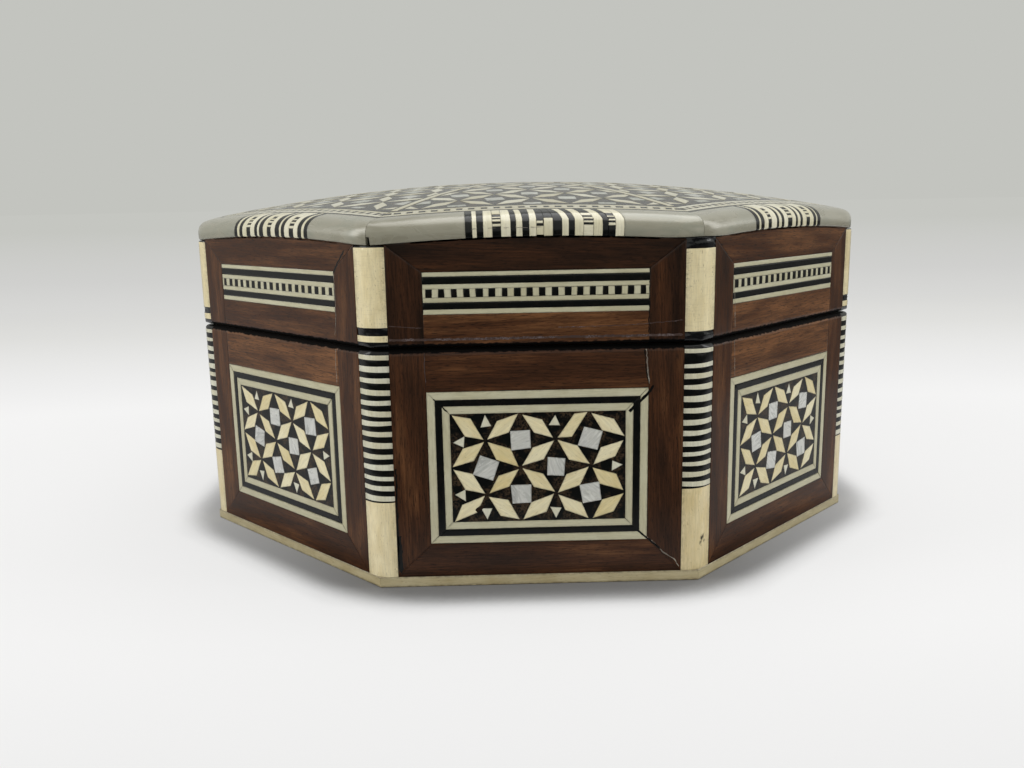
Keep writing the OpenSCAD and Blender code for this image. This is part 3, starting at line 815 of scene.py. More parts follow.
@dataclass
class Sheet:
    """Flat pieces of one sort, eased at their edges and bent into place together."""

    thick: float = 0.4 * MM
    ease: float = 0.05 * MM
    rim: float = 0.28 * MM
    seed: int = 1
    # gives each point's share of painted seam shade
    shade_and_stain: Callable[[Vector], float] = lambda co: 0.0
    cuts: list[tuple[Vector, Vector]] = field(default_factory=list)
    tiles: list[Tile] = field(default_factory=list)

    def add(self, side: int, outline: Outline, **more: object) -> None:
        """Lay one more piece."""
        self.tiles.append(Tile(side, list(outline), **more))

    def cut_rows(self, axis: int, places: Iterable[float]) -> None:
        """Divide all pieces along straight lines, so that they can bend."""
        normal = Vector((1, 0, 0)) if axis == 0 else Vector((0, 1, 0))
        self.cuts += [(normal * place, normal) for place in places]

    def piece(self, name: str, finish: Finish, body: Body, *nodes: str, bend: Bend = on_face,
              trims: Sequence[Vector] = (), **more: object) -> bpy.types.Object:
        """Make all pieces and finish them as one.

        Args:
            name: Name of the whole.
            finish: Its finish.
            body: Half of the box that carries it.
            nodes: Solids that it stands for.
            bend: Takes a point of the flat sheet to its place on the front side.
            trims: Normals of planes through the axis that cut the pieces after the bend.
            more: What finish_piece takes besides.

        Returns:
            The object.
        """
        bm = bmesh.new()
        for layer in ("side", "tone", "edge", "seed", "shade_and_stain"):
            bm.verts.layers.float.new(layer)
        for layer in ("home", "lie"):
            bm.verts.layers.float_vector.new(layer)
        grown = bmesh.ops.extrude_face_region(bm, geom=self._lay(bm))["geom"]
        tops = set(of_kind(grown, bmesh.types.BMVert))
        for vert in bm.verts:
            vert.co.z = 0.0 if vert in tops else -self.thick
        faces = of_kind(grown, bmesh.types.BMFace)
        if self.ease:
            ease_edges(bm, [e for e in bm.edges if tops.issuperset(e.verts)], self.ease)
            bm.normal_update()
            faces = [f for f in bm.faces if f.normal.z > LEVEL and f.calc_center_median().z > -MM / 1e5]
        edge, side = bm.verts.layers.float["edge"], bm.verts.layers.float["side"]
        if self.rim:
            bmesh.ops.inset_individual(bm, faces=faces, thickness=self.rim, use_even_offset=True)
            for vert in (v for face in faces for v in face.verts):
                vert[edge] = 0.0
        for place, normal in self.cuts:
            cut_mesh(bm, place, normal)
        self._settle(bm)
        for vert in bm.verts:
            vert.co = bend(vert.co)
        for normal in trims:
            rims = of_kind(cut_mesh(bm, normal * -CUT_ROOM, normal, clear_outer=True), bmesh.types.BMEdge)
            bmesh.ops.holes_fill(bm, edges=rims, sides=0)
        turns = [Matrix.Rotation(EIGHTH * k, 3, "Z") for k in SIDES]
        for vert in bm.verts:
            vert.co = turns[round(vert[side])] @ vert.co
        return finish_piece(bm, name, finish, body, *nodes, **more)

    def _lay(self, bm: Mesh) -> list[bmesh.types.BMFace]:
        """Draw every outline as one face.

        Args:
            bm: Mesh that takes them.

        Returns:
            The faces.
        """
        side, tone, edge, seed = (bm.verts.layers.float[n] for n in ("side", "tone", "edge", "seed"))
        home, lie = (bm.verts.layers.float_vector[n] for n in ("home", "lie"))
        flats = []
        for number, tile in enumerate(self.tiles):
            outline = tile.outline if signed_area(tile.outline) > 0 else tile.outline[::-1]
            verts = [bm.verts.new((u, v, 0)) for u, v in outline]
            middle = sum((v.co for v in verts), Vector()) / len(verts)
            for vert in verts:
                vert[side], vert[tone], vert[edge], vert[seed] = tile.side, tile.tone, 1.0, number
                vert[home] = (middle.x, middle.y, tile.grain)
                vert[lie] = (*tile.tilt, tile.sink)
            flats.append(bm.faces.new(verts))
        bm.normal_update()
        return flats

    def _settle(self, bm: Mesh) -> None:
        """Write each point's share of painted seam shade and its place in the grain, then tilt and sink the
        pieces.

        Args:
            bm: Mesh of all pieces, still flat.
        """
        rng = random.Random(self.seed)
        shifts = [[rng.uniform(-1, 1) for _ in range(3)] for _ in self.tiles]
        grain = bm.verts.layers.float_vector.new("grain")
        home, lie = (bm.verts.layers.float_vector[n] for n in ("home", "lie"))
        seed, shade_and_stain = bm.verts.layers.float["seed"], bm.verts.layers.float["shade_and_stain"]
        for vert in bm.verts:
            vert[shade_and_stain] = self.shade_and_stain(vert.co)
            u, v = vert.co.x - vert[home][0], vert.co.y - vert[home][1]
            c, s = math.cos(vert[home][2]), math.sin(vert[home][2])
            shift = shifts[round(vert[seed])]
            vert[grain] = (u * c + v * s + shift[0], v * c - u * s + shift[1], vert.co.z + shift[2])
            if vert.co.z > -self.thick / 2:
                vert.co.z += vert[lie][0] * u + vert[lie][1] * v - vert[lie][2]


# ---------------------------------------------------------------- the veneer frames and what lies under them


@dataclass
class VeneerFrames:
    """Rosewood frames around the eight sides of one half, butted at the seam and mitred away from it."""

    body: Body
    seed: int
    wander: tuple[float, float, float]
    tones: dict[int, tuple[float, ...]]
    thick: float = 1.1 * MM
    rim: float = 0.3 * MM
    joint: float = 0.015 * MM
    bare: float = 0.15 * MM
    # run over which the rounded seam edge darkens to painted black shade, after a bare run
    shade_run: float = 0.75 * MM

    def __post_init__(self) -> None:
        """Work out where the frames roll over the seam."""
        self.way = 1 if self.body is Body.BOX else -1
        self.start = (BOX.body_h if self.way > 0 else BOX.lid_z) - self.way * BOX.seam_round
        self.end = self.start + self.way * BOX.seam_round * math.pi / 2

    def shade_and_stain(self, co: Vector) -> float:
        """Painted shade of the rounded edge at the seam, black deep in the crease."""
        return min(max((self.way * (co.y - self.start) - self.bare) / self.shade_run, 0.0), 1.0)

    def outlines(self) -> tuple[list[Point], list[Point], list[Point]]:
        """Draw the parts of one frame.

        Returns:
            Outlines of the lower rail, the right stile and the upper rail.
        """
        half, out, j = BOX.panel_half, BOX.face_half, self.joint
        if self.way > 0:
            (low, high), foot = BOX.panel_z, BOX.edging_h
            return ([(-out + j, foot + HAIR), (out - j, foot + HAIR), (half + j / 2, low - j),
                     (-half - j / 2, low - j)],
                    [(half + j, low + j / 2), (out - j / 2, foot + 2 * j), (out - j / 2, self.end),
                     (half + j, self.end)],
                    rect(-half, high + j, half, self.end))
        low, high = BOX.band_z
        crown = [(u, BOX.under_rim(u) - HAIR / 2) for u in ((out - j) * (1 - i / 6) for i in range(13))]
        return (rect(-half, self.end, half, low - j),
                [(half + j, self.end), (out - j / 2, self.end),
                 (out - j / 2, BOX.under_rim(out) - 0.05 * MM - 3 * j), (half + j, high - j)],
                [(-half, high + j), (half, high + j), *crown])

    def build(self) -> None:
        """Make the lower rails, stiles and upper rails."""
        rng = random.Random(self.seed)
        # the rounded edges at the seam get painted shade, besides dark filler in the groove
        low, mid, high = sheets = [Sheet(self.thick, HAIR, self.rim, self.seed + i, self.shade_and_stain)
                                   for i in range(3)]
        lower, stile, upper = self.outlines()
        for k in SIDES:
            tones = self.tones.get(k) or tuple(rng.uniform(0.3, 0.62) for _ in range(4))
            grains = [rng.uniform(-w, w) for w in (self.wander[0], *[self.wander[1]] * 2, self.wander[2])]
            low.add(k, lower, tone=tones[0], grain=grains[0])
            mid.add(k, [(-u, v) for u, v in stile], tone=tones[1], grain=UPRIGHT + grains[1])
            mid.add(k, stile, tone=tones[3], grain=UPRIGHT + grains[2])
            high.add(k, upper, tone=tones[2], grain=grains[3])
        rolls = [self.start + self.way * BOX.seam_round * math.pi / 2 * i / 6 for i in range(6)]
        for sheet, part in zip(sheets, ("lower_rails", "stiles", "upper_rails")):
            if sheet is not (low if self.way > 0 else high):
                sheet.cut_rows(1, rolls)
            node = f"{self.body.value}_{part}"
            sheet.piece(f"veneer_{node}", VENEER, self.body, node,
                        bend=lambda co: to_seam(co, self.start, self.way))


MITRES = tuple(Vector((s * math.cos(HALF), math.sin(HALF), 0)) for s in (1, -1))


@dataclass
class GlueBeds:
    """Dark glue and mastic that shows in the joints between the pieces of the skin."""

    under: float = 0.32 * MM

    def build(self) -> None:
        """Make one thin bed on each side of both halves and one under the rim."""
        out = BOX.face_half
        sunk = Vector((0, 0, self.under))
        for half, low, high in ((Body.BOX, BOX.edging_h, BOX.body_h - BOX.seam_round),
                                (Body.LID, BOX.lid_z + BOX.seam_round, BOX.under_rim(out))):
            bed = Sheet(BOX.skin_t - self.under - HAIR, 0, 0)
            for k in SIDES:
                bed.add(k, rect(-out, low, out, high))
            bed.piece(f"glue_bed_{half.value}", BLACK_LINE, half, bend=lambda co: on_face(co - sunk))
        bed, wrap = Sheet(0.3 * MM, 0, 0), PearlRim()
        wide = BOX.rim_a * T * 1.1
        for k in SIDES:
            bed.add(k, rect(-wide, 0.06 * MM, wide, wrap.run - 0.3 * MM))
        wrap.divide(bed)
        behind = Vector((0, 0, wrap.thick + HAIR))
        bed.piece("glue_bed_rim", BLACK_LINE, Body.LID, bend=lambda co: wrap.bend(co - behind), trims=MITRES)


# ---------------------------------------------------------------- side panels and bands


@dataclass
class SidePanels:
    """Inlaid panels of the body: three mitred lines around a mosaic of bone and pearl in mastic."""

    lines: tuple[float, float, float] = (1.55 * MM, 1.3 * MM, 1.45 * MM)
    joint: float = 0.03 * MM
    cols: int = 5
    rows: int = 4
    lozenge_w: float = 3.3 * MM
    tip_gap: float = 0.3 * MM
    square_s: float = 3.7 * MM
    tri_w: float = 2.1 * MM
    tri_inset: float = 0.5 * MM
    seed: int = 5
    # turn in degrees and width in mm of the front's squares
    front: dict[Point, Point] = field(default_factory=lambda: {
        (1, 2): (-20.0, 3.95), (4, 1): (-17.0, 3.9), (4, 3): (8.0, 3.75), (2, 1): (3.0, 3.7),
        (3, 2): (-4.0, 3.5), (2, 3): (2.0, 3.75)})

    def __post_init__(self) -> None:
        """Work out the mosaic's half width and half height, and open its sheets."""
        low, high = BOX.panel_z
        self.half, self.middle = (high - low) / 2, (low + high) / 2
        self.w, self.h = BOX.panel_half - sum(self.lines), self.half - sum(self.lines)
        self.rng = random.Random(self.seed)
        self.ground = Sheet(0.9 * MM, 0, 0, 2)
        self.lozenges, self.pearls = Sheet(rim=0.22 * MM, seed=3), Sheet(rim=0.22 * MM, seed=4)
        self.triangles = Sheet(rim=0.15 * MM, ease=0.04 * MM, seed=5)

    def knot(self, i: float, j: float) -> Point:
        """Grid point of the mosaic, counted from its top left corner."""
        return (2 * i / self.cols - 1) * self.w, (1 - 2 * j / self.rows) * self.h

    def build(self) -> None:
        """Make the lines, the ground and the mosaic."""
        self._lines()
        for k in SIDES:
            self.ground.add(k, rect(-self.w, -self.h, self.w, self.h), sink=0.04 * MM)
            self._lozenges(k)
            self._pearls(k)
            self._triangles(k)
        up = Vector((0, self.middle, 0))
        for name, sheet, finish in (
                ("grounds", self.ground, BLACK_GROUND), ("lozenges", self.lozenges, BONE_WARM),
                ("pearls", self.pearls, PEARL_PANEL), ("triangles", self.triangles, BONE_LINE)):
            sheet.piece(f"inlay_{name}", finish, Body.BOX, f"panel_{name}", bend=lambda co: on_face(co + up))

    def _lines(self) -> None:
        """Lay the three mitred lines around every panel."""
        rng = random.Random(self.seed + 1)
        bone, black = (Sheet(rim=0.25 * MM, seed=seed) for seed in (6, 7))
        j = self.joint
        for k in SIDES:
            for row, width in enumerate(self.lines):
                inset = sum(self.lines[:row])
                tone = 0.5 + rng.uniform(-0.25, 0.25)
                for quarter in range(4):
                    w, h = BOX.panel_half - inset, self.half - inset
                    if quarter % 2:
                        w, h = h, w
                    low = h - width + j / 2
                    strip = hand_cut(rng, [(-w + j, h - j), (w - j, h - j), (w - width - j, low),
                                           (-w + width + j, low)], 0.035 * MM)
                    (black if row == 1 else bone).add(
                        k, turned(strip, quarter * UPRIGHT, (0, self.middle)), grain=quarter * UPRIGHT,
                        tone=tone + rng.uniform(-0.15, 0.15))
        bone.piece("inlay_panel_bone_lines", BONE_BAND, Body.BOX, "panel_bone_lines")
        black.piece("inlay_panel_black_lines", BLACK_LINE, Body.BOX, "panel_black_lines")

    def _lozenges(self, k: int) -> None:
        """Lay one hand-cut lozenge in every cell of a side, along the diagonal of its even knots.

        Args:
            k: Side of the box.
        """
        gauss, uniform = self.rng.gauss, self.rng.uniform
        for i in range(self.cols):
            for j in range(self.rows):
                odd = (i + j) % 2
                a, b = self.knot(i, j + odd), self.knot(i + 1, j + 1 - odd)
                angle = math.atan2(b[1] - a[1], b[0] - a[0]) + gauss(0, 0.02)
                half = math.dist(a, b) / 2 - self.tip_gap - abs(gauss(0, 0.12 * MM))
                wide = self.lozenge_w / 2 * uniform(0.9, 1.06)
                slide = gauss(0, 0.45 * MM)
                shape = [(-half, gauss(0, 0.1 * MM)), (slide, -wide), (half, gauss(0, 0.1 * MM)),
                         (-slide, wide)]
                self.lozenges.add(k, turned(shape, angle, ((a[0] + b[0]) / 2, (a[1] + b[1]) / 2)),
                                  grain=angle + gauss(0, 0.1), tone=uniform(0.15, 0.95), sink=0.012 * MM,
                                  tilt=(gauss(0, 0.002), gauss(0, 0.002)))

    def _pearls(self, k: int) -> None:
        """Lay the pearl squares of a side, each turned a little as it was set.

        Args:
            k: Side of the box.
        """
        gauss, uniform = self.rng.gauss, self.rng.uniform
        for i in range(1, self.cols):
            for j in range(1 + i % 2, self.rows, 2):
                size = self.square_s / 2 * uniform(0.93, 1.04)
                turn = math.radians(self.front[i, j][0] if k == 0 else gauss(0, 8))
                if k == 0:
                    size = self.front[i, j][1] / 2 * MM
                square = hand_cut(self.rng, rect(-size, -size, size, size), 0.07 * MM)
                self.pearls.add(k, turned(square, turn, self.knot(i, j)), grain=uniform(0, math.pi),
                                tone=uniform(0.3, 0.7), sink=0.015 * MM,
                                tilt=(gauss(0, 0.004), gauss(0, 0.004)))

    def _triangles(self, k: int) -> None:
        """Lay the small triangles of a side, whose tips point at the panel's edge.

        Args:
            k: Side of the box.
        """
        foot = -self.tri_inset - self.tri_w
        tip = [(0, -self.tri_inset), (-self.tri_w / 2, foot), (self.tri_w / 2, foot)]
        spots = [(i, 0, 0.0) for i in range(1, self.cols, 2)]
        spots += [(i, self.rows, math.pi) for i in range(1, self.cols) if (i + self.rows) % 2]
        spots += [(0, j, UPRIGHT) for j in range(1, self.rows, 2)]
        spots += [(self.cols, j, -UPRIGHT) for j in range(1, self.rows) if (j + self.cols) % 2]
        for i, j, turn in spots:
            shape = hand_cut(self.rng, tip, 0.1 * MM)
            self.triangles.add(k, turned(shape, turn + self.rng.gauss(0, 0.06), self.knot(i, j)),
                               grain=self.rng.uniform(0, math.pi), tone=self.rng.uniform(0.4, 0.9),
                               sink=0.015 * MM)


@dataclass
class LidBands:
    """Inlaid bands of the lid: bone and black lines above and below a row of checks."""

    strips: tuple[float, ...] = (0.85 * MM, 1.35 * MM, 0.9 * MM, 1.6 * MM, 0.9 * MM, 1.25 * MM, 0.95 * MM)
    check_row: int = 3
    count: int = 18
    gap: float = 0.025 * MM
    seed: int = 41

    def build(self) -> None:
        """Make the lines and the checks."""
        rng = random.Random(self.seed)
        half, gap = BOX.panel_half - 0.05 * MM, self.gap
        bone, black = Sheet(rim=0.18 * MM, seed=8), Sheet(rim=0.2 * MM, seed=9)
        dark, pale = (Sheet(rim=0.15 * MM, ease=0.04 * MM, seed=seed) for seed in (10, 12))
        for k in SIDES:
            high = BOX.band_z[1]
            for row, width in enumerate(self.strips):
                low = high - width
                if row == self.check_row:
                    for i, (a, b) in enumerate(checks(BOX.panel_half, self.count, rng)):
                        lean = rng.gauss(0, 0.04 * MM)
                        piece = [(a + gap, low + gap), (b - gap, low + gap), (b - gap + lean, high - gap),
                                 (a + gap + lean, high - gap)]
                        (dark if i % 2 else pale).add(k, piece, grain=UPRIGHT, tone=rng.uniform(0.3, 0.9))
                else:
                    strip = hand_cut(rng, rect(-half, low + HAIR, half, high - HAIR), 0.03 * MM)
                    (black if row % 2 else bone).add(k, strip, tone=rng.uniform(0.3, 0.8))
                high = low
        for sheet, name, finish in ((bone, "bone_lines", BONE_BAND), (black, "black_lines", BLACK_LINE),
                                    (dark, "black_checks", BLACK_LINE), (pale, "bone_checks", BONE_BAND)):
            sheet.piece(f"inlay_band_{name}", finish, Body.LID, f"band_{name}")


# ---------------------------------------------------------------- posts, edging and wear


@dataclass
class CornerPosts:
    """Bone and black posts on the eight corners of both halves."""

    foot_z: float = 17.3 * MM
    stripes: int = 14
    seam_fill_h: float = 0.95 * MM
    joint_fill_h: float = 0.35 * MM
    fill_share: float = 0.54
    ease: float = 0.06 * MM
    tall: float = 8 * MM
    skin_y: float = -78 * MM
    lump_depth: float = 0.3 * MM
    lump_step: float = 0.35 * MM
    lump_size: float = 0.6 * MM
    # height over which the posts are painted dark as seam shade
    seam_shade_h: float = 0.9 * MM
    # place, radius and strength of the stain on the right front foot
    stain: tuple[float, float, float, float] = (1.1 * MM, 8.0 * MM, 1.3 * MM, 0.42)
    right_foot_z: float = 18.7 * MM
    right_stripes: int = 13
    right_last_fill: float = 2.0 * MM
    lid_levels: tuple[float, ...] = (48.35 * MM, 49.5 * MM, 51.0 * MM, 65.75 * MM)
    right_lid_levels: tuple[float, ...] = (49.2 * MM, 64.5 * MM)
    foot_tones: dict[int, float] = field(default_factory=lambda: {7: 0.75, 0: 0.25})
    seed: int = 67

    def __post_init__(self) -> None:
        """Work out the plan of a post at the front corner, flat behind and rounded in front."""
        self.rng = random.Random(self.seed)
        chord_r = BOX.apothem / math.cos(HALF) - BOX.post_reach * math.sin(HALF)
        chord_half = BOX.post_reach * math.cos(HALF) - 0.03 * MM
        centre = math.sqrt(BOX.post_r ** 2 - chord_half ** 2) - chord_r
        sweep = math.asin(chord_half / BOX.post_r)
        self.arc = [(BOX.post_r * math.sin(a), centre - BOX.post_r * math.cos(a))
                    for a in (sweep * (i / 5 - 1) for i in range(11))]
        self.half = max(x for x, _ in self.arc)
        self.back = (BOX.core_a * math.sin(HALF) - BOX.face_half * math.cos(HALF),
                     -BOX.face_half * math.sin(HALF) - BOX.core_a * math.cos(HALF))

    def stack(self, bm: Mesh, corner: int, levels: Point, slopes: Point, shrink: float,
              tone: float | Point) -> None:
        """Add one piece of a post between two sloping levels.

        Args:
            bm: Mesh that takes it.
            corner: Corner of the box, from 0 at the right of the front.
            levels: Height of its lower and upper face.
            slopes: Slope of each face across the post.
            shrink: How far its front lies back. A cast filling, which lies far back, is lumpy.
            tone: Its tone, or the least and the greatest.
        """
        shift = self.rng.uniform(-1, 1), self.rng.uniform(-1, 1)
        low, high = levels
        plan = [(-self.back[0], self.back[1]), *((x, y + shrink) for x, y in self.arc), self.back]
        part = bmesh.new()
        foot = part.faces.new([part.verts.new((x, y, low + slopes[0] * x)) for x, y in plan])
        part.normal_update()
        if foot.normal.z > 0:
            foot.normal_flip()
        grown = bmesh.ops.extrude_face_region(part, geom=[foot])["geom"]
        for vert in of_kind(grown, bmesh.types.BMVert):
            vert.co.z = high + slopes[1] * vert.co.x
        bmesh.ops.recalc_face_normals(part, faces=part.faces[:])
        ease_edges(part, [e for e in part.edges if abs(e.verts[0].co.z - e.verts[1].co.z) < 0.3 * MM
                          and max(v.co.y for v in e.verts) < self.skin_y], self.ease)
        rows = [level + way * BOX.seam_round * x for level, way in ((BOX.body_h, -1), (BOX.lid_z, 1))
                for x in (0.16, 0.4, 0.7, 1.0)]
        if high - low > self.tall:
            rows += [low + (high - low) * i / 12 for i in range(1, 12)]
        lumpy = shrink > 0.1 * MM
        if lumpy:
            rows += [low + self.lump_step * i for i in range(1, round((high - low) / self.lump_step))]
        for row in rows:
            if low + 0.1 * MM < row < high - 0.1 * MM:
                cut_mesh(part, (0, 0, row), (0, 0, 1))
        tone = self.rng.uniform(*tone) if isinstance(tone, tuple) else tone
        self._take_over(bm, part, corner, lumpy, tone, shift)

    def _take_over(self, bm: Mesh, part: Mesh, corner: int, lumpy: bool, tone: float, shift: Point) -> None:
        """Move a piece into the mesh of all posts.

        Args:
            bm: Mesh that takes it.
            part: The piece, which is freed.
            corner: Its corner.
            lumpy: Whether its front is lumpy.
            tone: Its tone.
            shift: Offset of its grain.
        """
        layers = [bm.verts.layers.float[n] for n in ("corner", "tone", "edge", "shade_and_stain")]
        grain = bm.verts.layers.float_vector["grain"]
        made = {}
        for vert in part.verts:
            if lumpy and vert.co.y < self.skin_y:
                vert.co.y += self.lump_depth * noise.noise(vert.co / self.lump_size)
            co = vert.co
            new = made[vert] = bm.verts.new(co)
            edge = max(0.0, (abs(co.x) / self.half - 0.5) / 0.5) ** 2
            for layer, value in zip(layers, (corner, tone, edge, self._shade_and_stain(corner, co))):
                new[layer] = value
            new[grain] = (co.z + shift[0], co.x + shift[1], co.y + shift[0])
        for face in part.faces:
            bm.faces.new([made[v] for v in face.verts])
        part.free()

    def _shade_and_stain(self, corner: int, co: Vector) -> float:
        """Spread painted shade near the seam, and the stain on one foot block.

        Args:
            corner: Corner of the box.
            co: Point of its post, before it is turned to the corner.

        Returns:
            Share of painted shade and stain there.
        """
        u, z, radius, most = self.stain
        near_seam = 1 - min(abs(co.z - BOX.body_h), abs(co.z - BOX.lid_z)) / self.seam_shade_h
        spot = math.hypot(co.x - u, (co.z - z) * 0.7) / radius if corner == 0 else 2.0
        return max(near_seam, min(most, 1.3 * (1 - spot)), 0.0)

    @staticmethod
    def _open() -> Mesh:
        """Start a mesh with the layers of a post.

        Returns:
            The mesh.
        """
        bm = bmesh.new()
        for name in ("corner", "tone", "edge", "shade_and_stain"):
            bm.verts.layers.float.new(name)
        bm.verts.layers.float_vector.new("grain")
        return bm

    @staticmethod
    def _placed(bm: Mesh) -> Mesh:
        """Round the pieces off at the seam and turn them to their corners.

        Args:
            bm: Mesh of the pieces, all at the front corner.

        Returns:
            The same mesh.
        """
        corner = bm.verts.layers.float["corner"]
        for vert in bm.verts:
            into = vert.co.z - BOX.body_h if vert.co.z < BOX.lid_z else BOX.lid_z - vert.co.z
            into = min(max(into + BOX.seam_round, 0.0), BOX.seam_round)
            limit = BOX.apothem - BOX.seam_round + math.sqrt(BOX.seam_round ** 2 - into ** 2)
            for way in BOTH:
                normal = Vector((way * math.sin(HALF), -math.cos(HALF), 0))
                vert.co -= normal * max(normal.dot(vert.co) - limit, 0.0)
            vert.co = Matrix.Rotation(EIGHTH * vert[corner] + HALF, 3, "Z") @ vert.co
        bm.verts.layers.float.remove(corner)
        return bm

    def build(self) -> None:
        """Stack foot blocks and stripes on the body, and fillings, stripe and block on the lid."""
        rng = self.rng
        feet, bones, blacks = (self._open() for _ in range(3))
        for corner in SIDES:
            own = self.foot_z + rng.gauss(0, 0.12 * MM)
            level = self.right_foot_z if corner == 0 else own
            tone, slope = self.foot_tones.get(corner, rng.uniform(0.3, 0.75)), rng.gauss(0, 0.012)
            self.stack(feet, corner, (BOX.edging_h + 0.03 * MM, level), (0, slope), 0.0, tone)
            for fill, stripe in self._heights(level, corner == 0):
                for height, bm, shrink in ((fill, blacks, 0.05 * MM), (stripe, bones, 0.0)):
                    lean = rng.gauss(0, 0.02) if height != self.seam_fill_h else 0.0
                    if height:
                        self.stack(bm, corner, (level, level + height), (slope, lean), shrink, (0.2, 0.95))
                        level, slope = level + height, lean
        finish_piece(self._placed(feet), "post_foot_blocks", BONE_FOOT, Body.BOX, "post_foot_blocks")
        finish_piece(self._placed(bones), "post_stripes_bone", BONE_LINE, Body.BOX, "post_bone_stripes")
        finish_piece(self._placed(blacks), "post_stripes_black", BLACK_LINE, Body.BOX, "post_black_stripes")
        bones, fills = self._open(), self._open()
        top = BOX.under_rim(BOX.side / 2) - 0.06 * MM
        for corner in SIDES:
            own = self.lid_levels if corner else self.right_lid_levels
            levels = [BOX.lid_z, *own, top if corner else top + 0.5 * MM]
            slope = 0.0
            for i, pair in enumerate(zip(levels, levels[1:])):
                lean = rng.gauss(0, 0.02) if i < len(levels) - 2 else 0.0
                self.stack(bones if i % 2 else fills, corner, pair, (slope, lean),
                           0.0 if i % 2 else 0.12 * MM, (0.6, 0.95))
                slope = lean
        finish_piece(self._placed(bones), "lid_post_blocks", BONE_POST, Body.LID, "lid_post_bones")
        finish_piece(self._placed(fills), "lid_post_filling", BLACK_LUMP, Body.LID, "lid_post_fills")

    def _heights(self, foot: float, right: bool) -> list[Point]:
        """Work out the heights of each filling and of the stripe above it.

        Args:
            foot: Height of the foot block's top.
            right: Whether it is the right front post.

        Returns:
            Pairs of heights from the foot block to the seam.
        """
        count, last = (self.right_stripes, self.right_last_fill) if right else (self.stripes, 0.0)
        free = BOX.body_h - self.seam_fill_h - foot
        step = (free - self.joint_fill_h - last) / (count - 0.5 - (0.5 if last else 0.0))
        fills = [step * self.fill_share + self.rng.gauss(0, 0.1 * MM) for _ in range(count - 1)]
        if last:
            fills[-1] = last
        fills = [self.joint_fill_h, *fills]
        stripes = [step / 2 + self.rng.gauss(0, 0.1 * MM) for _ in range(count)]
        spare = (free - sum(fills) - sum(stripes)) / count
        return [(fill, stripe + spare) for fill, stripe in zip(fills, stripes)] + [(self.seam_fill_h, 0.0)]


@dataclass
class BaseEdging:
    """Bone strips around the foot of the box, mitred at the corners."""

    thick: float = 1.15 * MM
    seed: int = 71

    def build(self) -> None:
        """Make the eight strips."""
        rng = random.Random(self.seed)
        sheet = Sheet(self.thick, 0.12 * MM, 0.35 * MM, self.seed)
        half = BOX.side / 2 + 0.5 * MM
        for k in SIDES:
            sheet.add(k, rect(-half, HAIR, half, BOX.edging_h), tone=rng.uniform(0.3, 0.7))
        sheet.cut_rows(0, [BOX.side * x for x in (-0.45, -0.3, -0.1, 0.1, 0.3, 0.45)])
        sheet.piece("base_edging_strips", BONE_EDGING, Body.BOX, "base_edging", trims=MITRES)


@dataclass(frozen=True)
class Crack:
    """One crack, open joint, stain or painted highlight line: its side of the box, the points it passes in
    mm, and its width.
    """

    side: int
    path: tuple[Point, ...]
    width: float
    finish: Mastic = DUST
    body: Body = Body.BOX


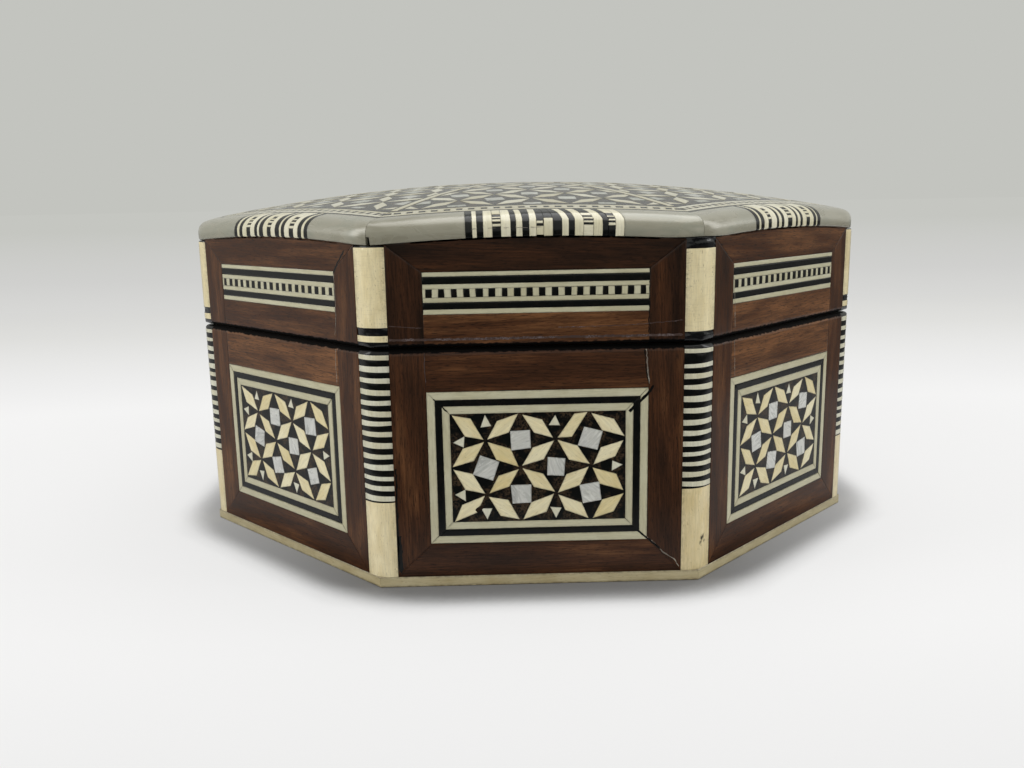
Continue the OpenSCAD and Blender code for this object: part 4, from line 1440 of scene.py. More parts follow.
@dataclass
class Wear:
    """Old cracks and open joints in the skin, filled with glue or with polishing dust, and painted highlight
    lines along the lid's lower edge.
    """

    proud: float = 0.006 * MM
    seed: int = 131
    cracks: tuple[Crack, ...] = (
        Crack(0, ((20.6, 9.3), (22.4, 7.8), (24.2, 5.9), (26.3, 4.4), (27.3, 2.7)), 0.29),
        Crack(0, ((20.4, 46.1), (20.6, 43.6), (20.75, 41.7), (21.1, 39.4)), 0.29),
        Crack(0, ((20.1, 46.0), (20.3, 43.6), (20.5, 41.7), (20.8, 39.6)), 0.28, BLACK_LINE),
        Crack(0, ((-20.9, 46.2), (-21.0, 43.5), (-20.9, 40.4)), 0.24, GLAZE_AND_SHEEN),
        Crack(0, ((17.3, 34.2), (18.6, 35.5), (19.9, 36.7), (21.2, 38.1), (21.9, 39.3)), 0.62, BLACK_LINE),
        Crack(0, ((18.1, 11.3), (19.6, 10.1), (21.0, 8.8), (23.6, 6.6)), 0.46, BLACK_LINE),
        Crack(0, ((-19.6, 37.4), (-18.2, 36.0), (-16.9, 34.8)), 0.3, BLACK_LINE),
        Crack(0, ((-27.2, 24.0), (-27.3, 12.0), (-27.4, 3.4)), 0.4, BLACK_LINE),
        Crack(0, ((-27.1, 10.5), (-27.0, 6.0), (-26.9, 2.9)), 0.85, BLACK_LINE),
        Crack(1, ((-19.9, 46.1), (-19.7, 43.4), (-19.4, 38.7)), 0.13),
        Crack(7, ((20.3, 46.1), (20.1, 43.0), (20.2, 39.3)), 0.13),
        Crack(1, ((-20.84, 58.6), (-20.5, 56.0), (-20.2, 54.0), (-20.0, 51.0), (-19.9, 48.6)), 0.17, DUST,
              Body.LID),
        Crack(7, ((21.0, 60.6), (21.2, 57.0), (21.1, 53.2), (20.8, 51.0), (20.4, 48.6)), 0.13, DUST,
              Body.LID),
        Crack(7, ((21.0, 60.8), (22.6, 62.9), (24.9, 65.2)), 0.42, BLACK_LINE, Body.LID),
        Crack(0, ((20.9, 61.3), (20.9, 56.0), (20.8, 49.0)), 0.22, BLACK_LINE, Body.LID),
        Crack(0, ((-12.1, 15.2), (-11.4, 15.8), (-10.7, 16.3)), 0.85, SMOKE),
        # painted highlights: greyish strips along the lid's lower edge stand in for the lacquer's reflection
        # on its rounded edge
        Crack(0, ((-27.3, 51.3), (-24.0, 51.05), (-21.0, 50.9)), 0.2, GLAZE_AND_SHEEN, Body.LID),
        Crack(0, ((4.0, 50.5), (14.0, 50.6), (21.0, 50.9), (27.3, 51.4)), 0.2, GLAZE_AND_SHEEN, Body.LID),
        Crack(0, ((-27.4, 48.72), (-12.0, 48.65), (6.0, 48.7), (27.3, 48.66)), 0.52, GLAZE_AND_SHEEN, Body.LID))

    def build(self) -> None:
        """Make one piece for each filling on each half."""
        rng = random.Random(self.seed)
        sheets = {}
        for crack in self.cracks:
            sheet = sheets.setdefault((crack.body, crack.finish), Sheet(0.1 * MM, 0, 0, self.seed))
            sheet.add(crack.side, hairline([(u * MM, z * MM) for u, z in crack.path], crack.width * MM, rng))
        proud = Vector((0, 0, self.proud))
        for (body, finish), sheet in sheets.items():
            # the glaze pieces on the lid are painted highlight lines
            name = {DUST: "dust", GLAZE_AND_SHEEN: "glaze_and_sheen", SMOKE: "smoke"}.get(finish, "glue")
            sheet.piece(f"crack_{name}_{body.value}", finish, body, bend=lambda co: on_face(co + proud),
                        slot=Slot.VENEER if finish is DUST else None)


# ---------------------------------------------------------------- rim and top


@dataclass
class PearlRim:
    """Rounded rim of pearl around the top, with a block of stripes in the middle of each side.

    The kinds of stripes are b bone, k black, l, m and n ladders, p patched and c cut short by black.
    """

    widths: tuple[float, ...] = (1.2, 0.9, 1.2, 1.6, 1.6, 1.7) * 3 + (1.2, 0.9, 1.2)
    kinds: str = "kbkblb" * 3 + "kbk"
    front_edges: tuple[Point, ...] = (
        (-13.0, -13.1), (-11.75, -11.9), (-10.9, -11.0), (-9.7, -9.75), (-8.0, -8.15), (-6.4, -6.6),
        (-4.6, -5.0), (-3.6, -4.05), (-2.4, -2.95), (-1.15, -1.5), (0.2, -0.2), (1.55, 1.0), (3.25, 2.2),
        (4.95, 3.2), (6.2, 4.5), (7.3, 5.75), (8.95, 7.2), (10.8, 9.05), (12.5, 10.4), (14.9, 13.5),
        (16.55, 14.9))
    front_kinds: str = "kbkblbkbkbpckbkbmbnb"
    front_knee: float = 0.4
    rungs: tuple[float, ...] = (0.0, 0.24, 0.305, 0.36, 0.413, 0.46, 0.508, 0.62, 1.0)
    scratches: tuple[Point, ...] = ((-11.9, -10.8), (-8.8, -7.2), (-5.9, -4.9), (-3.7, -1.3), (-0.9, 1.3))
    worn: tuple[Point, ...] = ((21.5, 0.0), (25.0, 0.12), (28.0, 0.42), (30.2, 0.8), (32.0, 1.0))
    chip: tuple[Point, ...] = ((-30.95, 0.0), (-31.0, 1.5))
    chip_h: float = 2.0 * MM
    thick: float = 1.1 * MM
    nose_w: float = 4.5 * MM
    nose_h: float = 3.2 * MM
    nose_cuts: int = 48
    foot_round: float = 0.45 * MM
    corner_rise: float = 0.62 * MM
    corner_r: float = 8 * MM
    seed: int = 83

    def __post_init__(self) -> None:
        """Work out the section of the rim: a short wall, an elliptical nose and the dome."""
        self.rng = random.Random(self.seed)
        self.nose_a = BOX.rim_a - self.nose_w
        angle = math.asin(self.nose_a / BOX.dome_r)
        for _ in range(8):
            self.turn = math.atan2(self.nose_h, self.nose_w * math.tan(angle))
            angle = math.asin((self.nose_a + self.nose_w * math.cos(self.turn)) / BOX.dome_r)
        self.start = angle
        self.nose_r = BOX.dome_r * math.cos(angle) - self.nose_h * math.sin(self.turn)
        self.wall = self.nose_r - BOX.rim_foot_r
        spots = [(self.nose_w * math.cos(t), self.nose_h * math.sin(t))
                 for t in (self.turn * i / self.nose_cuts for i in range(self.nose_cuts + 1))]
        self.arc = [0.0]
        for here, there in zip(spots, spots[1:]):
            self.arc.append(self.arc[-1] + math.dist(here, there))
        flange = (self.start - math.asin(BOX.border_a / BOX.dome_r)) * BOX.dome_r
        self.run = self.wall + self.arc[-1] + flange
        self.laid = self.run - 0.03 * MM
        self.bone, self.black = (Sheet(self.thick, 0.03 * MM, 0.09 * MM, self.seed + i) for i in (1, 2))

    def bend(self, co: Vector) -> Vector:
        """Wrap a flat sheet around the rim: u along the side, v from the foot over the nose.

        Args:
            co: Point of the flat sheet.

        Returns:
            Its place.
        """
        s = co.y - self.wall
        if s <= 0:
            r, a, nr, na = BOX.rim_foot_r + co.y, BOX.rim_a, 0.0, 1.0
        elif s < self.arc[-1]:
            i = bisect.bisect_right(self.arc, s)
            share = (s - self.arc[i - 1]) / (self.arc[i] - self.arc[i - 1])
            t = self.turn * (i - 1 + share) / self.nose_cuts
            na, nr = self.nose_h * math.cos(t), self.nose_w * math.sin(t)
            na, nr = na / math.hypot(na, nr), nr / math.hypot(na, nr)
            r, a = self.nose_r + self.nose_h * math.sin(t), self.nose_a + self.nose_w * math.cos(t)
        else:
            angle = self.start - (s - self.arc[-1]) / BOX.dome_r
            nr, na = math.cos(angle), math.sin(angle)
            r, a = BOX.dome_r * nr, BOX.dome_r * na
        inward = max(0.0, 1 + co.z / (0.6 * self.thick))
        under = max(0.0, self.foot_round - co.y)
        a -= inward * (self.foot_round - math.sqrt(max(self.foot_round ** 2 - under ** 2, 0.0)))
        r, a = r + nr * co.z, a + na * co.z
        near = min(max(abs(co.x) - (BOX.rim_a - self.corner_r) * T, 0.0), 0.6 * self.corner_r)
        a -= na * na * (self.corner_r - math.sqrt(self.corner_r ** 2 - near ** 2))
        swing = co.x / BOX.dome_r
        return Vector((r * math.sin(swing), -a, BOX.dome_z + r * math.cos(swing)))

    def divide(self, sheet: Sheet) -> None:
        """Divide a sheet where the rim bends.

        Args:
            sheet: Sheet that will be wrapped around it.
        """
        sheet.cut_rows(1, [self.foot_round * x for x in (0.12, 0.35, 0.65, 1.0)])
        sheet.cut_rows(1, [self.wall + self.arc[-1] * i / 10 for i in range(11)])
        sheet.cut_rows(0, [x * 4.7 * MM for x in range(-5, 6)])
        sheet.cut_rows(0, [s * x * MM for s in BOTH for x in (27.2, 28.2, 29.1, 29.9, 30.6, 31.2)])

    def build(self) -> None:
        """Make the pearl pieces, the striped blocks and the scratches."""
        pearl = Sheet(self.thick, 0.05 * MM, 0.4 * MM, self.seed)
        gap = 0.05 * MM
        for k in SIDES:
            edges = self._block(k)
            for s, (low, high) in ((-1, edges[0]), (1, edges[-1])):
                bent = [(low + s * gap, self.front_knee * self.laid)] if k == 0 else []
                pearl.add(k, [(low + s * gap, 0), *self._corner(k, s), (high + s * gap, self.laid), *bent],
                          tone=self.rng.uniform(0.35, 0.65), grain=self.rng.uniform(-0.06, 0.06))
        for sheet, name, finish, node, cut in (
                (pearl, "rim_pearl_pieces", PEARL_RIM, "rim_pearl", MITRES),
                (self.bone, "rim_stripes_bone", BONE_RIM, "rim_bone_stripes", ()),
                (self.black, "rim_stripes_black", BLACK_LINE, "rim_black_stripes", ())):
            self.divide(sheet)
            sheet.piece(name, finish, Body.LID, node, bend=self.bend, trims=cut)
        scratch, proud = Sheet(0.08 * MM, 0, 0, self.seed), Vector((0, 0, 0.008 * MM))
        v = 0.2 * self.run
        for u0, u1 in self.scratches:
            path = [(u0 * MM, v), (u1 * MM, v + self.rng.gauss(0, 0.05 * MM))]
            scratch.add(0, hairline(path, 0.12 * MM, self.rng))
        scratch.piece("rim_scratch", DUST, Body.LID, bend=lambda co: self.bend(co + proud), slot=Slot.BONE)

    def _corner(self, k: int, s: int) -> list[Point]:
        """Draw the outer end of a pearl piece: worn up at one corner, chipped at another, else straight.

        Args:
            k: Side of the box.
            s: 1 for its right end and -1 for its left.

        Returns:
            Points from the foot up to the border.
        """
        far = BOX.rim_a * T * 1.1
        if (k, s) in ((0, 1), (1, -1)):
            foot = [(s * u * MM, share * self.corner_rise) for u, share in self.worn]
            foot.append((s * far, self.corner_rise))
        elif (k, s) == (0, -1):
            foot = [(u * MM, v * MM) for u, v in self.chip] + [(-far, self.chip_h)]
        else:
            foot = [(s * far, 0.0)]
        return [*foot, (s * far, self.laid)]

    def _pattern(self, k: int) -> tuple[list[Point], str]:
        """Lower and upper place of every joint in a striped block, and the kinds of its stripes.

        Args:
            k: Side of the box.

        Returns:
            The places and the kinds.
        """
        if k == 0:
            return [(low * MM, high * MM) for low, high in self.front_edges], self.front_kinds
        widths = [width * MM for width in self.widths]
        u, lean = -sum(widths) / 2, self.rng.gauss(0, 0.35 * MM)
        edges = [(u, u + lean)]
        for i, width in enumerate(widths):
            u += width
            slips = [0 if i == len(widths) - 1 else self.rng.gauss(0, 0.12 * MM) for _ in range(2)]
            edges.append((u + slips[0], u + slips[0] + lean * (1 - i / 10) + slips[1]))
        return edges, self.kinds

    def _block(self, k: int) -> list[Point]:
        """Lay the stripes of one block.

        Args:
            k: Side of the box.

        Returns:
            Lower and upper place of every joint.
        """
        edges, kinds = self._pattern(k)
        gap, run, knee = HAIR, self.laid, self.front_knee if k == 0 else 0.0
        for kind, (a0, a1), (b0, b1) in zip(kinds, edges, edges[1:]):
            def lay(black: bool, lo: float, hi: float, left: float = 0.0, right: float = 1.0,
                    grain: float = UPRIGHT, tone: float = 0.5) -> None:
                """Lay part of this stripe.

                Args:
                    black: Whether it is mastic, not bone.
                    lo: Share of the run where it starts.
                    hi: Share of the run where it ends.
                    left: Share of the stripe's width where it starts.
                    right: Share of the width where it ends.
                    grain: Direction of its grain.
                    tone: Its tone.
                """
                sides = []
                for share in (lo, knee, hi) if lo < knee < hi else (lo, hi):
                    lean = max(0.0, share - knee) / (1 - knee)
                    a, b = a0 + (a1 - a0) * lean, b0 + (b1 - b0) * lean
                    sides.append(((a + (b - a) * left + gap, share * run),
                                  (a + (b - a) * right - gap, share * run)))
                outline = [near for near, _ in reversed(sides)] + [far for _, far in sides]
                (self.black if black else self.bone).add(k, outline, grain=grain, tone=tone,
                                                         sink=HAIR if black else 0.0)
            tone = self.rng.uniform(0.3, 0.95)
            if kind in "bk":
                lay(kind == "k", 0, 1, tone=tone if kind == "b" else 0.5)
            elif kind == "c":
                lay(False, 0, 0.43, tone=tone)
                lay(True, 0.435, 1, grain=0.0)
            elif kind == "p":
                lay(False, 0.03, 0.225, tone=0.3)
                lay(True, 0.23, 0.285, grain=0.0)
                lay(False, 0.29, 0.35, 0, 0.9, grain=0.0, tone=0.9)
                lay(True, 0.355, 1)
            else:
                self._ladder(kind, lay)
        return edges

    def _ladder(self, kind: str, lay: Callable[..., None]) -> None:
        """Lay one stripe of thin black and bone rungs over a foot, which is bone for the kind m.

        Args:
            kind: Kind of the stripe.
            lay: Lays a part of the stripe.
        """
        left = 0.45 if kind == "n" else 0.0
        if left:
            lay(True, 0, 1, 0, left - 0.02)
        places = [p + (self.rng.gauss(0, 0.006) if 0 < p < 1 else 0) for p in self.rungs]
        for i, (lo, hi) in enumerate(zip(places, places[1:])):
            lay((i % 2 == 1) == (kind == "m"), lo + (0.003 if i else 0), hi - (0.003 if hi < 1 else 0), left,
                grain=0.0, tone=self.rng.uniform(0.3, 0.95))


@dataclass
class TopBorder:
    """Border between the rim and the mosaic: black, bone, checks, bone, black."""

    strips: tuple[float, ...] = (0.8 * MM, 1.1 * MM, 1.5 * MM, 1.1 * MM, 0.8 * MM)
    thick: float = 0.6 * MM
    pitch: float = 2.3 * MM
    joint: float = 0.025 * MM
    seed: int = 97

    def build(self) -> None:
        """Make the strips and the checks."""
        rng = random.Random(self.seed)
        bone = Sheet(self.thick, rim=0.18 * MM, seed=self.seed)
        black = Sheet(self.thick, rim=0.16 * MM, seed=self.seed + 1)
        for k in SIDES:
            a1 = BOX.border_a
            for row, width in enumerate(self.strips):
                a0 = a1 - width
                if row == 2:
                    self._checks(k, a0, a1, (bone, black), rng)
                else:
                    sheet, sink = (black, HAIR) if row in (0, 4) else (bone, 0.0)
                    sheet.add(k, hand_cut(rng, gored(a1, a0, self.joint), 0.03 * MM),
                              tone=rng.uniform(0.3, 0.9), sink=sink)
                a1 = a0
        for sheet, name, finish, node in ((bone, "border_bone_strips", BONE_TOP, "border_bone"),
                                          (black, "border_black_strips", BLACK_LINE, "border_black")):
            sheet.cut_rows(0, [x * 7 * MM for x in range(-4, 5)])
            sheet.piece(name, finish, Body.LID, node, bend=on_dome)

    def _checks(self, k: int, a0: float, a1: float, sheets: tuple[Sheet, Sheet], rng: random.Random) -> None:
        """Lay the row of bone and black checks of one side.

        Args:
            k: Side of the box.
            a0: Distance of its inner edge from the middle.
            a1: Distance of its outer edge.
            sheets: Sheet of the bone checks and sheet of the black ones.
            rng: Source of unevenness.
        """
        half, gap = a1 * T - self.strips[2], 0.03 * MM
        low, high = -a1 + gap, -a0 - gap
        for i, (a, b) in enumerate(checks(half, round(2 * half / self.pitch), rng)):
            sheets[i % 2].add(k, rect(a + gap, low, b - gap, high), grain=UPRIGHT, tone=rng.uniform(0.3, 0.9),
                              sink=HAIR * (i % 2))
        for s in BOTH:
            sheets[1].add(k, [(s * (half + gap), low), (s * (a1 * T - gap), low), (s * (a0 * T - gap), high),
                              (s * (half + gap), high)], sink=HAIR)


@dataclass
class TopMosaic:
    """Mosaic of the domed top: eight gores of lozenges and pearl around a star."""

    spoke_w: float = 1.4 * MM
    mastic_w: float = 0.55 * MM
    cell: float = 7.2 * MM
    medallion_a: float = 19.5 * MM
    eye_r: float = 3 * MM
    lozenge_w: float = 3.3 * MM
    square_s: float = 3.6 * MM
    tip_gap: float = 0.3 * MM
    ground_t: float = 0.55 * MM
    slip: float = 0.06 * MM
    least: float = 0.42 * MM
    seed: int = 101

    def __post_init__(self) -> None:
        """Work out the rows of a gore."""
        self.rng = random.Random(self.seed)
        self.inner = self.medallion_a + self.spoke_w
        reach = BOX.field_a - self.mastic_w - self.inner
        self.rows = math.floor(reach / self.cell)
        self.step = reach / self.rows
        self.ground, self.bone, self.pearl, self.lines = (Sheet(rim=0.2 * MM, seed=i) for i in (1, 2, 3, 4))
        self.ground.thick, self.ground.ease, self.ground.rim = self.ground_t, 0, 0

    def row(self, j: float) -> float:
        """Distance of row line j from the middle."""
        return self.inner + j * self.step

    def half(self, a: float) -> float:
        """Half of a gore's free width at distance a."""
        return a * T - (self.spoke_w / 2 + self.mastic_w) / math.cos(HALF)

    def cells(self, j: int) -> int:
        """Whole cells on each side of the middle in row j."""
        return max(math.floor(self.half(self.row(j)) / self.cell), 0)

    def build(self) -> None:
        """Make the ground and all pieces in it."""
        corner = BOX.field_a / math.cos(HALF)
        self.ground.add(0, [(corner * math.cos(EIGHTH * k + HALF), corner * math.sin(EIGHTH * k + HALF))
                            for k in SIDES], sink=0.05 * MM)
        for k in SIDES:
            self._gore(k)
            self._star(k)
        self.pearl.add(0, [(self.eye_r * math.cos(a), self.eye_r * math.sin(a))
                           for a in (EIGHTH / 3 * i for i in range(24))], tone=0.6, sink=0.01 * MM)
        for sheet in (self.ground, self.lines):
            for axis in (0, 1):
                sheet.cut_rows(axis, [x * 9 * MM for x in range(-7, 8)])
        for sheet, name, finish in ((self.ground, "ground", BLACK_GROUND), (self.bone, "lozenges", BONE_TOP),
                                    (self.pearl, "pearls", PEARL_TOP), (self.lines, "lines", BONE_TOP)):
            sheet.piece(f"mosaic_{name}", finish, Body.LID, f"top_{name}", bend=on_dome)

    def _lay(self, k: int, sheet: Sheet, outline: Outline, grain: float) -> None:
        """Trim a piece to its gore, and lay it if enough of it is left.

        Args:
            k: Gore that it lies in.
            sheet: Sheet that takes it.
            outline: Its outline before the trim.
            grain: Direction of its grain.
        """
        for room in (lambda p: self.half(-p[1]) + p[0], lambda p: self.half(-p[1]) - p[0],
                     lambda p: BOX.field_a - self.mastic_w + p[1]):
            outline = trimmed(outline, room)
        if has_body(outline, self.least):
            sheet.add(k, outline, grain=grain, tone=self.rng.uniform(0.1, 0.95), sink=0.03 * MM,
                      tilt=(self.rng.gauss(0, 0.0025), self.rng.gauss(0, 0.0025)))

    def _lozenge(self, at: Point, angle: float, length: float, wide: float) -> list[Point]:
        """Draw one hand-cut lozenge.

        Args:
            at: Its middle.
            angle: Direction of its long diagonal.
            length: Its long diagonal.
            wide: Its short diagonal.

        Returns:
            Its outline.
        """
        slide = self.rng.gauss(0, 0.05 * length)
        shape = [(-length / 2, 0), (slide, -wide / 2), (length / 2, 0), (-slide, wide / 2)]
        return hand_cut(self.rng, turned(shape, angle, at), self.slip)

    def _gore(self, k: int) -> None:
        """Lay the pieces of one gore, the bone line beside it and the one at its foot.

        Args:
            k: Gore of the top.
        """
        rng = self.rng
        lean = math.atan(self.step / self.cell)
        length = math.hypot(self.cell, self.step) - 2 * self.tip_gap
        for j in range(self.rows):
            middle = -(self.row(j) + self.row(j + 1)) / 2
            for i in range(self.cells(j) + 2):
                for s in BOTH:
                    angle = s * (-1 if (i + j) % 2 else 1) * lean
                    piece = self._lozenge((s * (i + 0.5) * self.cell, middle), angle, length,
                                          self.lozenge_w * rng.uniform(0.88, 1.06))
                    self._lay(k, self.bone, piece, angle)
        for j in range(self.rows + 1):
            for i in range(-self.cells(j) - 1, self.cells(j) + 2):
                if (abs(i) + j + 1) % 2:
                    size = self.square_s / 2 * rng.uniform(0.9, 1.03)
                    square = hand_cut(rng, rect(-size, -size, size, size), self.slip)
                    square = turned(square, rng.gauss(0, 0.1), (i * self.cell, -self.row(j)))
                    square = trimmed(square, lambda p: -p[1] - self.inner - self.mastic_w / 2)
                    self._lay(k, self.pearl, square, rng.uniform(0, math.pi))
        start, end = (a / math.cos(HALF) for a in (self.inner + self.mastic_w, BOX.field_a - self.mastic_w))
        spoke = rect(-self.spoke_w / 2, -end, self.spoke_w / 2, -start)
        self.lines.add(k, turned(spoke, HALF), grain=UPRIGHT + HALF, tone=rng.uniform(0.3, 0.8))
        self.lines.add(k, gored(self.inner - self.mastic_w / 2, self.medallion_a), tone=rng.uniform(0.3, 0.8))

    def _star(self, k: int) -> None:
        """Lay one point of the star and the kite beside it.

        Args:
            k: Gore of the top.
        """
        outer, inner = self.medallion_a - 2 * self.mastic_w, self.eye_r + self.mastic_w
        middle = (inner + outer) / 2
        point = self._lozenge((0, -middle), UPRIGHT, outer - inner, middle * T * 1.1)
        mid = middle + self.mastic_w
        kite = self._lozenge(turned([(0, -(mid + outer) / 2)], HALF)[0], UPRIGHT + HALF, outer - mid,
                             (outer - mid) * T * 1.3)
        for sheet, piece in ((self.bone, point), (self.pearl, kite)):
            sheet.add(k, piece, grain=UPRIGHT, tone=self.rng.uniform(0.2, 0.95), sink=0.05 * MM)


# ---------------------------------------------------------------- inside, hinges and carcase


@dataclass
class VelvetInside:
    """Velvet glued to the walls and drawn over two thin crowned pads."""

    wall_t: float = 0.78 * MM
    seam_gap: float = 0.8 * MM
    ripple: float = 0.22 * MM
    shoulder: float = 7 * MM
    pull: float = 0.5 * MM
    pad_rows: tuple[float, ...] = (0.25, 0.4, 0.7, 1.1, 1.6, 2.2, 3.0)
    pad_cell: float = 6.2 * MM

    def build(self) -> None:
        """Make both wall linings, the floor pad and the pad under the top."""
        wide = BOX.lined_a * T - 0.05 * MM
        for name, body, low, high, node in (
                ("velvet_body_walls", Body.BOX, BOX.base_t, BOX.body_h - self.seam_gap, "body_lining"),
                ("velvet_lid_walls", Body.LID, BOX.lid_z + self.seam_gap, BOX.board_z, "lid_lining")):
            sheet = Sheet(self.wall_t, 0.3 * MM, 1.6 * MM)
            for k in SIDES:
                sheet.add(k, rect(-wide, low, wide, high))
            sheet.cut_rows(0, [x * 5 * MM for x in range(-5, 6)])
            sheet.cut_rows(1, [low + (high - low) * x / 8 for x in range(1, 8)])
            sheet.piece(name, VELVET, body, node, bend=self._against_wall, sharp=60)
        self._pad("velvet_floor_pad", Body.BOX, BOX.base_t, 1, "floor_pad")
        self._pad("velvet_top_pad", Body.LID, BOX.board_z, -1, "lid_pad")

    def _against_wall(self, co: Vector) -> Vector:
        """Stand a flat sheet against the inside of the front wall, with soft ripples.

        Args:
            co: Point of the flat sheet.

        Returns:
            Its place.
        """
        wave = noise.noise(Vector((co.x, co.y, 0.3)) / (9 * MM)) * 0.5 - 0.5
        depth = co.z + self.wall_t
        return Vector((-co.x, -BOX.inner_a + depth * (1 + wave * self.ripple / self.wall_t), co.y))

    def _pad(self, name: str, body: Body, level: float, way: int, node: str) -> None:
        """Make one crowned octagonal pad.

        Args:
            name: Name of the piece.
            body: Half of the box that carries it.
            level: Height of its flat back.
            way: 1 when it swells upwards and -1 when it swells downwards.
            node: Solid that it stands for.
        """
        bm = bmesh.new()
        bmesh.ops.create_circle(bm, cap_ends=True, segments=8, radius=BOX.lined_a / math.cos(HALF),
                                matrix=Matrix.Rotation(HALF, 4, "Z"))
        bmesh.ops.recalc_face_normals(bm, faces=bm.faces[:])
        grown = bmesh.ops.extrude_face_region(bm, geom=bm.faces[:])["geom"]
        # until it swells, the upper skin is told from the lower by its height of 0.35
        for vert in of_kind(grown, bmesh.types.BMVert):
            vert.co.z = 0.35
        top = of_kind(grown, bmesh.types.BMFace)
        for width in self.pad_rows:
            bmesh.ops.inset_region(bm, faces=top, thickness=width * MM, use_even_offset=True)
        for axis in ((1, 0, 0), (0, 1, 0)):
            for x in range(-10, 11):
                cut_mesh(bm, Vector(axis) * x * self.pad_cell, axis)
        for vert in bm.verts:
            self._swell(vert, level, way)
        bmesh.ops.recalc_face_normals(bm, faces=bm.faces[:])
        pad = finish_piece(bm, name, VELVET, body, node, sharp=75)

    def _swell(self, vert: bmesh.types.BMVert, level: float, way: int) -> None:
        """Lift one point of a pad to its place on the crown.

        Args:
            vert: The point.
            level: Height of the pad's flat back.
            way: 1 when it swells upwards and -1 when it swells downwards.
        """
        turns = [(math.sin(EIGHTH * k), -math.cos(EIGHTH * k)) for k in SIDES]
        reach, across = max((vert.co.x * n[0] + vert.co.y * n[1], vert.co.y * n[0] - vert.co.x * n[1])
                            for n in turns)
        share = min(max((BOX.lined_a - reach) / self.shoulder, 0.0), 1.0)
        crown = 0.3 + 0.62 * math.sqrt(1 - (1 - share) ** 2)
        soft = noise.noise(vert.co / (13 * MM)) * 0.5 + 0.5
        height = BOX.pad_t * (crown + 0.08 * soft * share) if vert.co.z > 0.1 else HAIR
        side = max(0.0, 1 - (across / (BOX.lined_a * T)) ** 2)
        squeeze = 1 - self.pull * side * (1 - share) / BOX.lined_a - 0.15 * MM / BOX.lined_a
        vert.co = Vector((vert.co.x * squeeze, vert.co.y * squeeze, level + way * height))


def dress_nodes(names: Iterable[str], finish: Finish) -> None:
    """Give solids that stay as they are their finish.

    Args:
        names: Names of the solids.
        finish: Their finish.
    """
    for name in names:
        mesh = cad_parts[name].data
        mesh.materials.clear()
        mesh.materials.append(finish.material())
        LOG.info("%s: %s", name, finish.name)


@dataclass
class Carcase:
    """Beech core of the box, whose solids show at the seam, inside and below."""

    names: tuple[str, ...] = ("front", "front_right", "right", "back_right", "back", "back_left", "left",
                              "front_left")

    def build(self) -> None:
        """Dress the walls along their own grain, then the boards."""
        for k, name in enumerate(self.names):
            dress_nodes([f"body_wall_{name}", f"lid_wall_{name}"],
                        CoreWood(name=f"beech_board_planed_{k % 4}", turn=45.0 * (k % 4)))
        dress_nodes(["base_board", "top_board"], CoreWood())


@dataclass
class Hinges:
    """Two brass butt hinges at the back, with their pins and nails."""

    nodes: tuple[str, ...] = ("hinge_body_leaves", "hinge_pins", "hinge_body_nails", "hinge_lid_leaves",
                              "hinge_lid_nails")

    def build(self) -> None:
        """Dress the hinges."""
        dress_nodes(self.nodes, BRASS)


# ---------------------------------------------------------------- studio


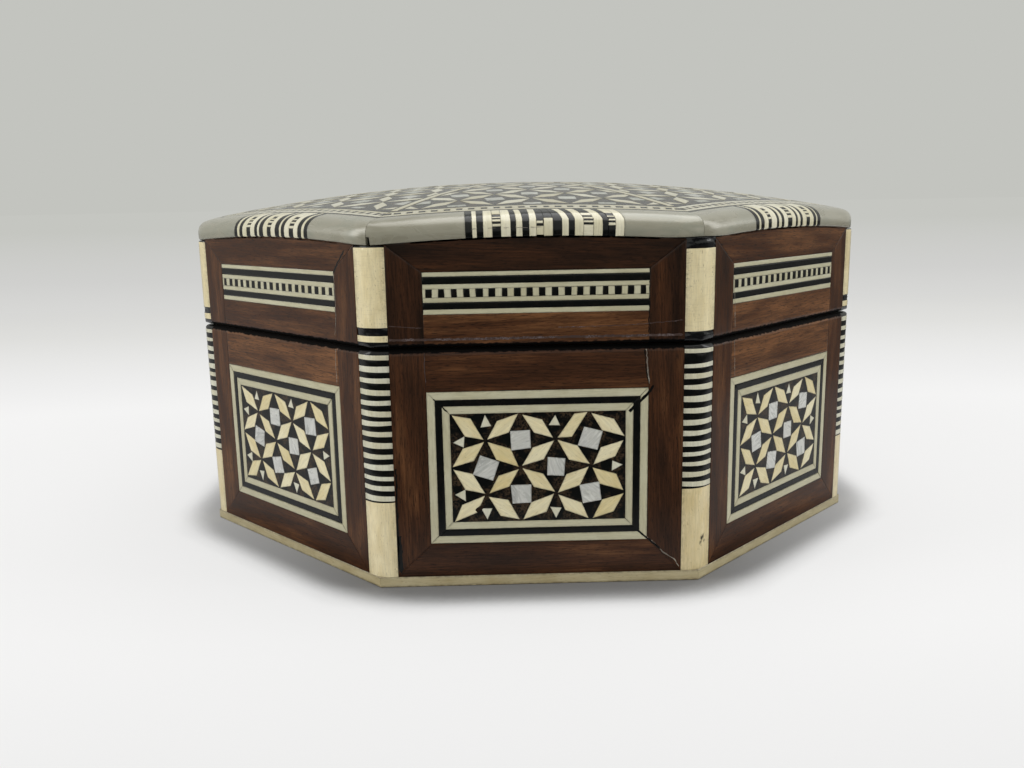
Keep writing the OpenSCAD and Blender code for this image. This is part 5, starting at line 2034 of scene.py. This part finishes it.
@dataclass
class Studio:
    """Pale table, plain grey room, soft lamps and the camera."""

    room: str = "#c3c4bf"
    front_dim: float = 0.05
    side_dim: float = 0.52
    right_dim: float = 0.12
    reach: float = 12.0
    # distance from the box and shade of the table there
    shades: tuple[tuple[float, str], ...] = ((0.10, "#f1f1f1"), (0.145, "#ebebeb"), (0.3, "#dddddb"),
                                             (0.7, "#d0d0ce"), (2.7, "#c5c6c1"))
    # name, place, size and power
    lamps: tuple[tuple, ...] = (("lamp_above", (0.12, 0.08, 0.75), (0.7, 0.7), 3.5),
                                ("lamp_left", (-0.6, -0.15, 0.35), (0.35, 0.45), 1.6),
                                ("lamp_right", (0.62, -0.05, 0.38), (0.35, 0.45), 1.25))
    lens: float = 32.4
    sensor: float = 36.0
    spot: tuple[float, float, float] = (-7.554 * 1.0021, -243.668 * 1.0021, 73.646 * 1.0021)
    yaw: float = 0.0166
    pitch: float = 0.1972
    roll: float = -0.0184

    def build(self) -> None:
        """Set up the table, the room, the lamps and the camera."""
        self._table()
        self._world()
        self._lamps()
        self._camera()
        bpy.context.scene.view_settings.view_transform = "Standard"

    def _table(self) -> None:
        """Lay the table, whose colour fades towards the room's."""
        bm = bmesh.new()
        bmesh.ops.create_circle(bm, cap_ends=True, segments=96, radius=self.reach)
        bmesh.ops.translate(bm, verts=bm.verts[:], vec=(0, 0, -0.03 * MM))
        mesh = bpy.data.meshes.new("studio_table")
        bm.to_mesh(mesh)
        bm.free()
        made = bpy.data.materials.new("matt_paper_table")
        self._shade(Nodes(made))
        mesh.materials.append(made)
        table = put("studio_table", mesh)

    def _shade(self, n: Nodes) -> None:
        """Draw the table: it glows where it is seen, with a painted contact shadow under the box, and is
        painted dim in its mirror image, which darkens the reflections in the box's lacquer.

        Args:
            n: Nodes of the table's material.
        """
        place = n.add("TexCoord", out="Object")
        along, across = n.add("SeparateXYZ", place, out="X"), n.add("SeparateXYZ", place, out="Y")
        run = n.add("VectorMath", n.add("VectorMath", place, (0.3, 1.0, 0.0), operation="MULTIPLY"),
                    out="Value", operation="LENGTH")
        # this ratio brings the endless table onto a ramp from 0 to 1
        share = n.add("Math", n.add("Math", run, 0.25, operation="ADD"),
                      n.add("Math", run, 0.85, operation="ADD"), operation="DIVIDE")
        pale = n.add("ValToRGB", share, stops=[((r + 0.25) / (r + 0.85), shade) for r, shade in self.shades])
        # painted contact shadow: ambient occlusion darkens the glow near the box, less at its left and right
        near = n.add("AmbientOcclusion", by={"Distance": 15 * MM}, out="AO", samples=16)
        least = n.add("MapRange", n.add("Math", along, operation="ABSOLUTE"), 0.03, 0.085, 0.0, 0.36)
        dark = n.add("MapRange", near, 0.69, 0.96, least, interpolation_type="SMOOTHSTEP")
        # painted reflection: glossy rays see the table darker in front of the box and to its right
        dim = n.add("Math", n.add("MapRange", across, -0.13, -0.085, self.front_dim, self.side_dim),
                    n.add("MapRange", along, 0.2, 0.3, self.side_dim, self.right_dim), operation="MINIMUM")
        glossy = n.add("LightPath", out="Is Glossy Ray")
        dark = n.add("Math", dark, n.add("Mix", glossy, None, 1.0, dim), operation="MULTIPLY")
        seen = n.add("Math", n.add("LightPath", out="Is Camera Ray"), 0.75, operation="MULTIPLY")
        for more in (glossy, n.add("MapRange", run, 0.12, 0.45, 0.0, 1.0)):
            seen = n.add("Math", seen, more, operation="MAXIMUM")
        n.add("OutputMaterial", n.add("MixShader", seen, n.add("BsdfDiffuse", pale, 0.3),
                                      n.add("Emission", n.shaded(pale, dark), 1.0)))

    def _world(self) -> None:
        """Fill the room with soft light and show it as plain grey."""
        world = bpy.data.worlds.new("studio_room")
        bpy.context.scene.world = world
        n = Nodes(world)
        seen = n.add("LightPath", out="Is Camera Ray")
        for ray in ("Is Glossy Ray", "Is Transmission Ray"):
            seen = n.add("Math", seen, n.add("LightPath", out=ray), operation="MAXIMUM")
        n.add("OutputWorld", n.add("MixShader", seen, n.add("Background", "#fffdf8", 0.5),
                                   n.add("Background", self.room, 1.0)))

    def _lamps(self) -> None:
        """Hang one large lamp above and a smaller one at each side."""
        for name, spot, size, power in self.lamps:
            light = bpy.data.lights.new(name, "AREA")
            light.shape = "RECTANGLE"
            light.size, light.size_y = size
            light.energy = power
            lamp = put(name, light)
            lamp.location = spot
            aim = Vector((0, 0, 0.04)) - Vector(spot)
            lamp.rotation_euler = aim.to_track_quat("-Z", "Y").to_euler()

    def _camera(self) -> None:
        """Set the camera a little above the box, in front of it."""
        data = bpy.data.cameras.new("camera")
        data.lens, data.sensor_width = self.lens, self.sensor
        data.clip_start, data.clip_end = 0.01, 50
        camera = put("camera", data)
        camera.matrix_world = (
            Matrix.Translation(Vector(self.spot) * MM) @ Matrix.Rotation(-self.yaw, 4, "Z")
            @ Matrix.Rotation(UPRIGHT - self.pitch, 4, "X") @ Matrix.Rotation(self.roll, 4, "Z"))
        bpy.context.scene.camera = camera


def main() -> None:
    """Build the whole box and its studio."""
    logging.basicConfig(level=logging.INFO, format="%(name)s: %(message)s")
    body_veneer = VeneerFrames(Body.BOX, 11, (0.02, 0.03, 0.03), {
        0: (0.34, 0.42, 0.5, 0.42), 1: (0.5, 0.42, 0.85, 0.5), 7: (0.5, 0.6, 0.9, 0.44)})
    lid_veneer = VeneerFrames(Body.LID, 23, (0.03, 0.03, 0.05), {
        0: (0.76, 0.0, 0.14, 0.02), 1: (0.75, 0.4, 0.62, 0.45), 7: (0.68, 0.5, 0.56, 0.46)})
    for part in (Studio(), Carcase(), Hinges(), GlueBeds(), body_veneer, SidePanels(), CornerPosts(),
                 BaseEdging(), lid_veneer, LidBands(), Wear(), PearlRim(), TopBorder(), TopMosaic(),
                 VelvetInside()):
        LOG.info("building %s", type(part).__name__)
        part.build()


if __name__ == "__main__":
    main()
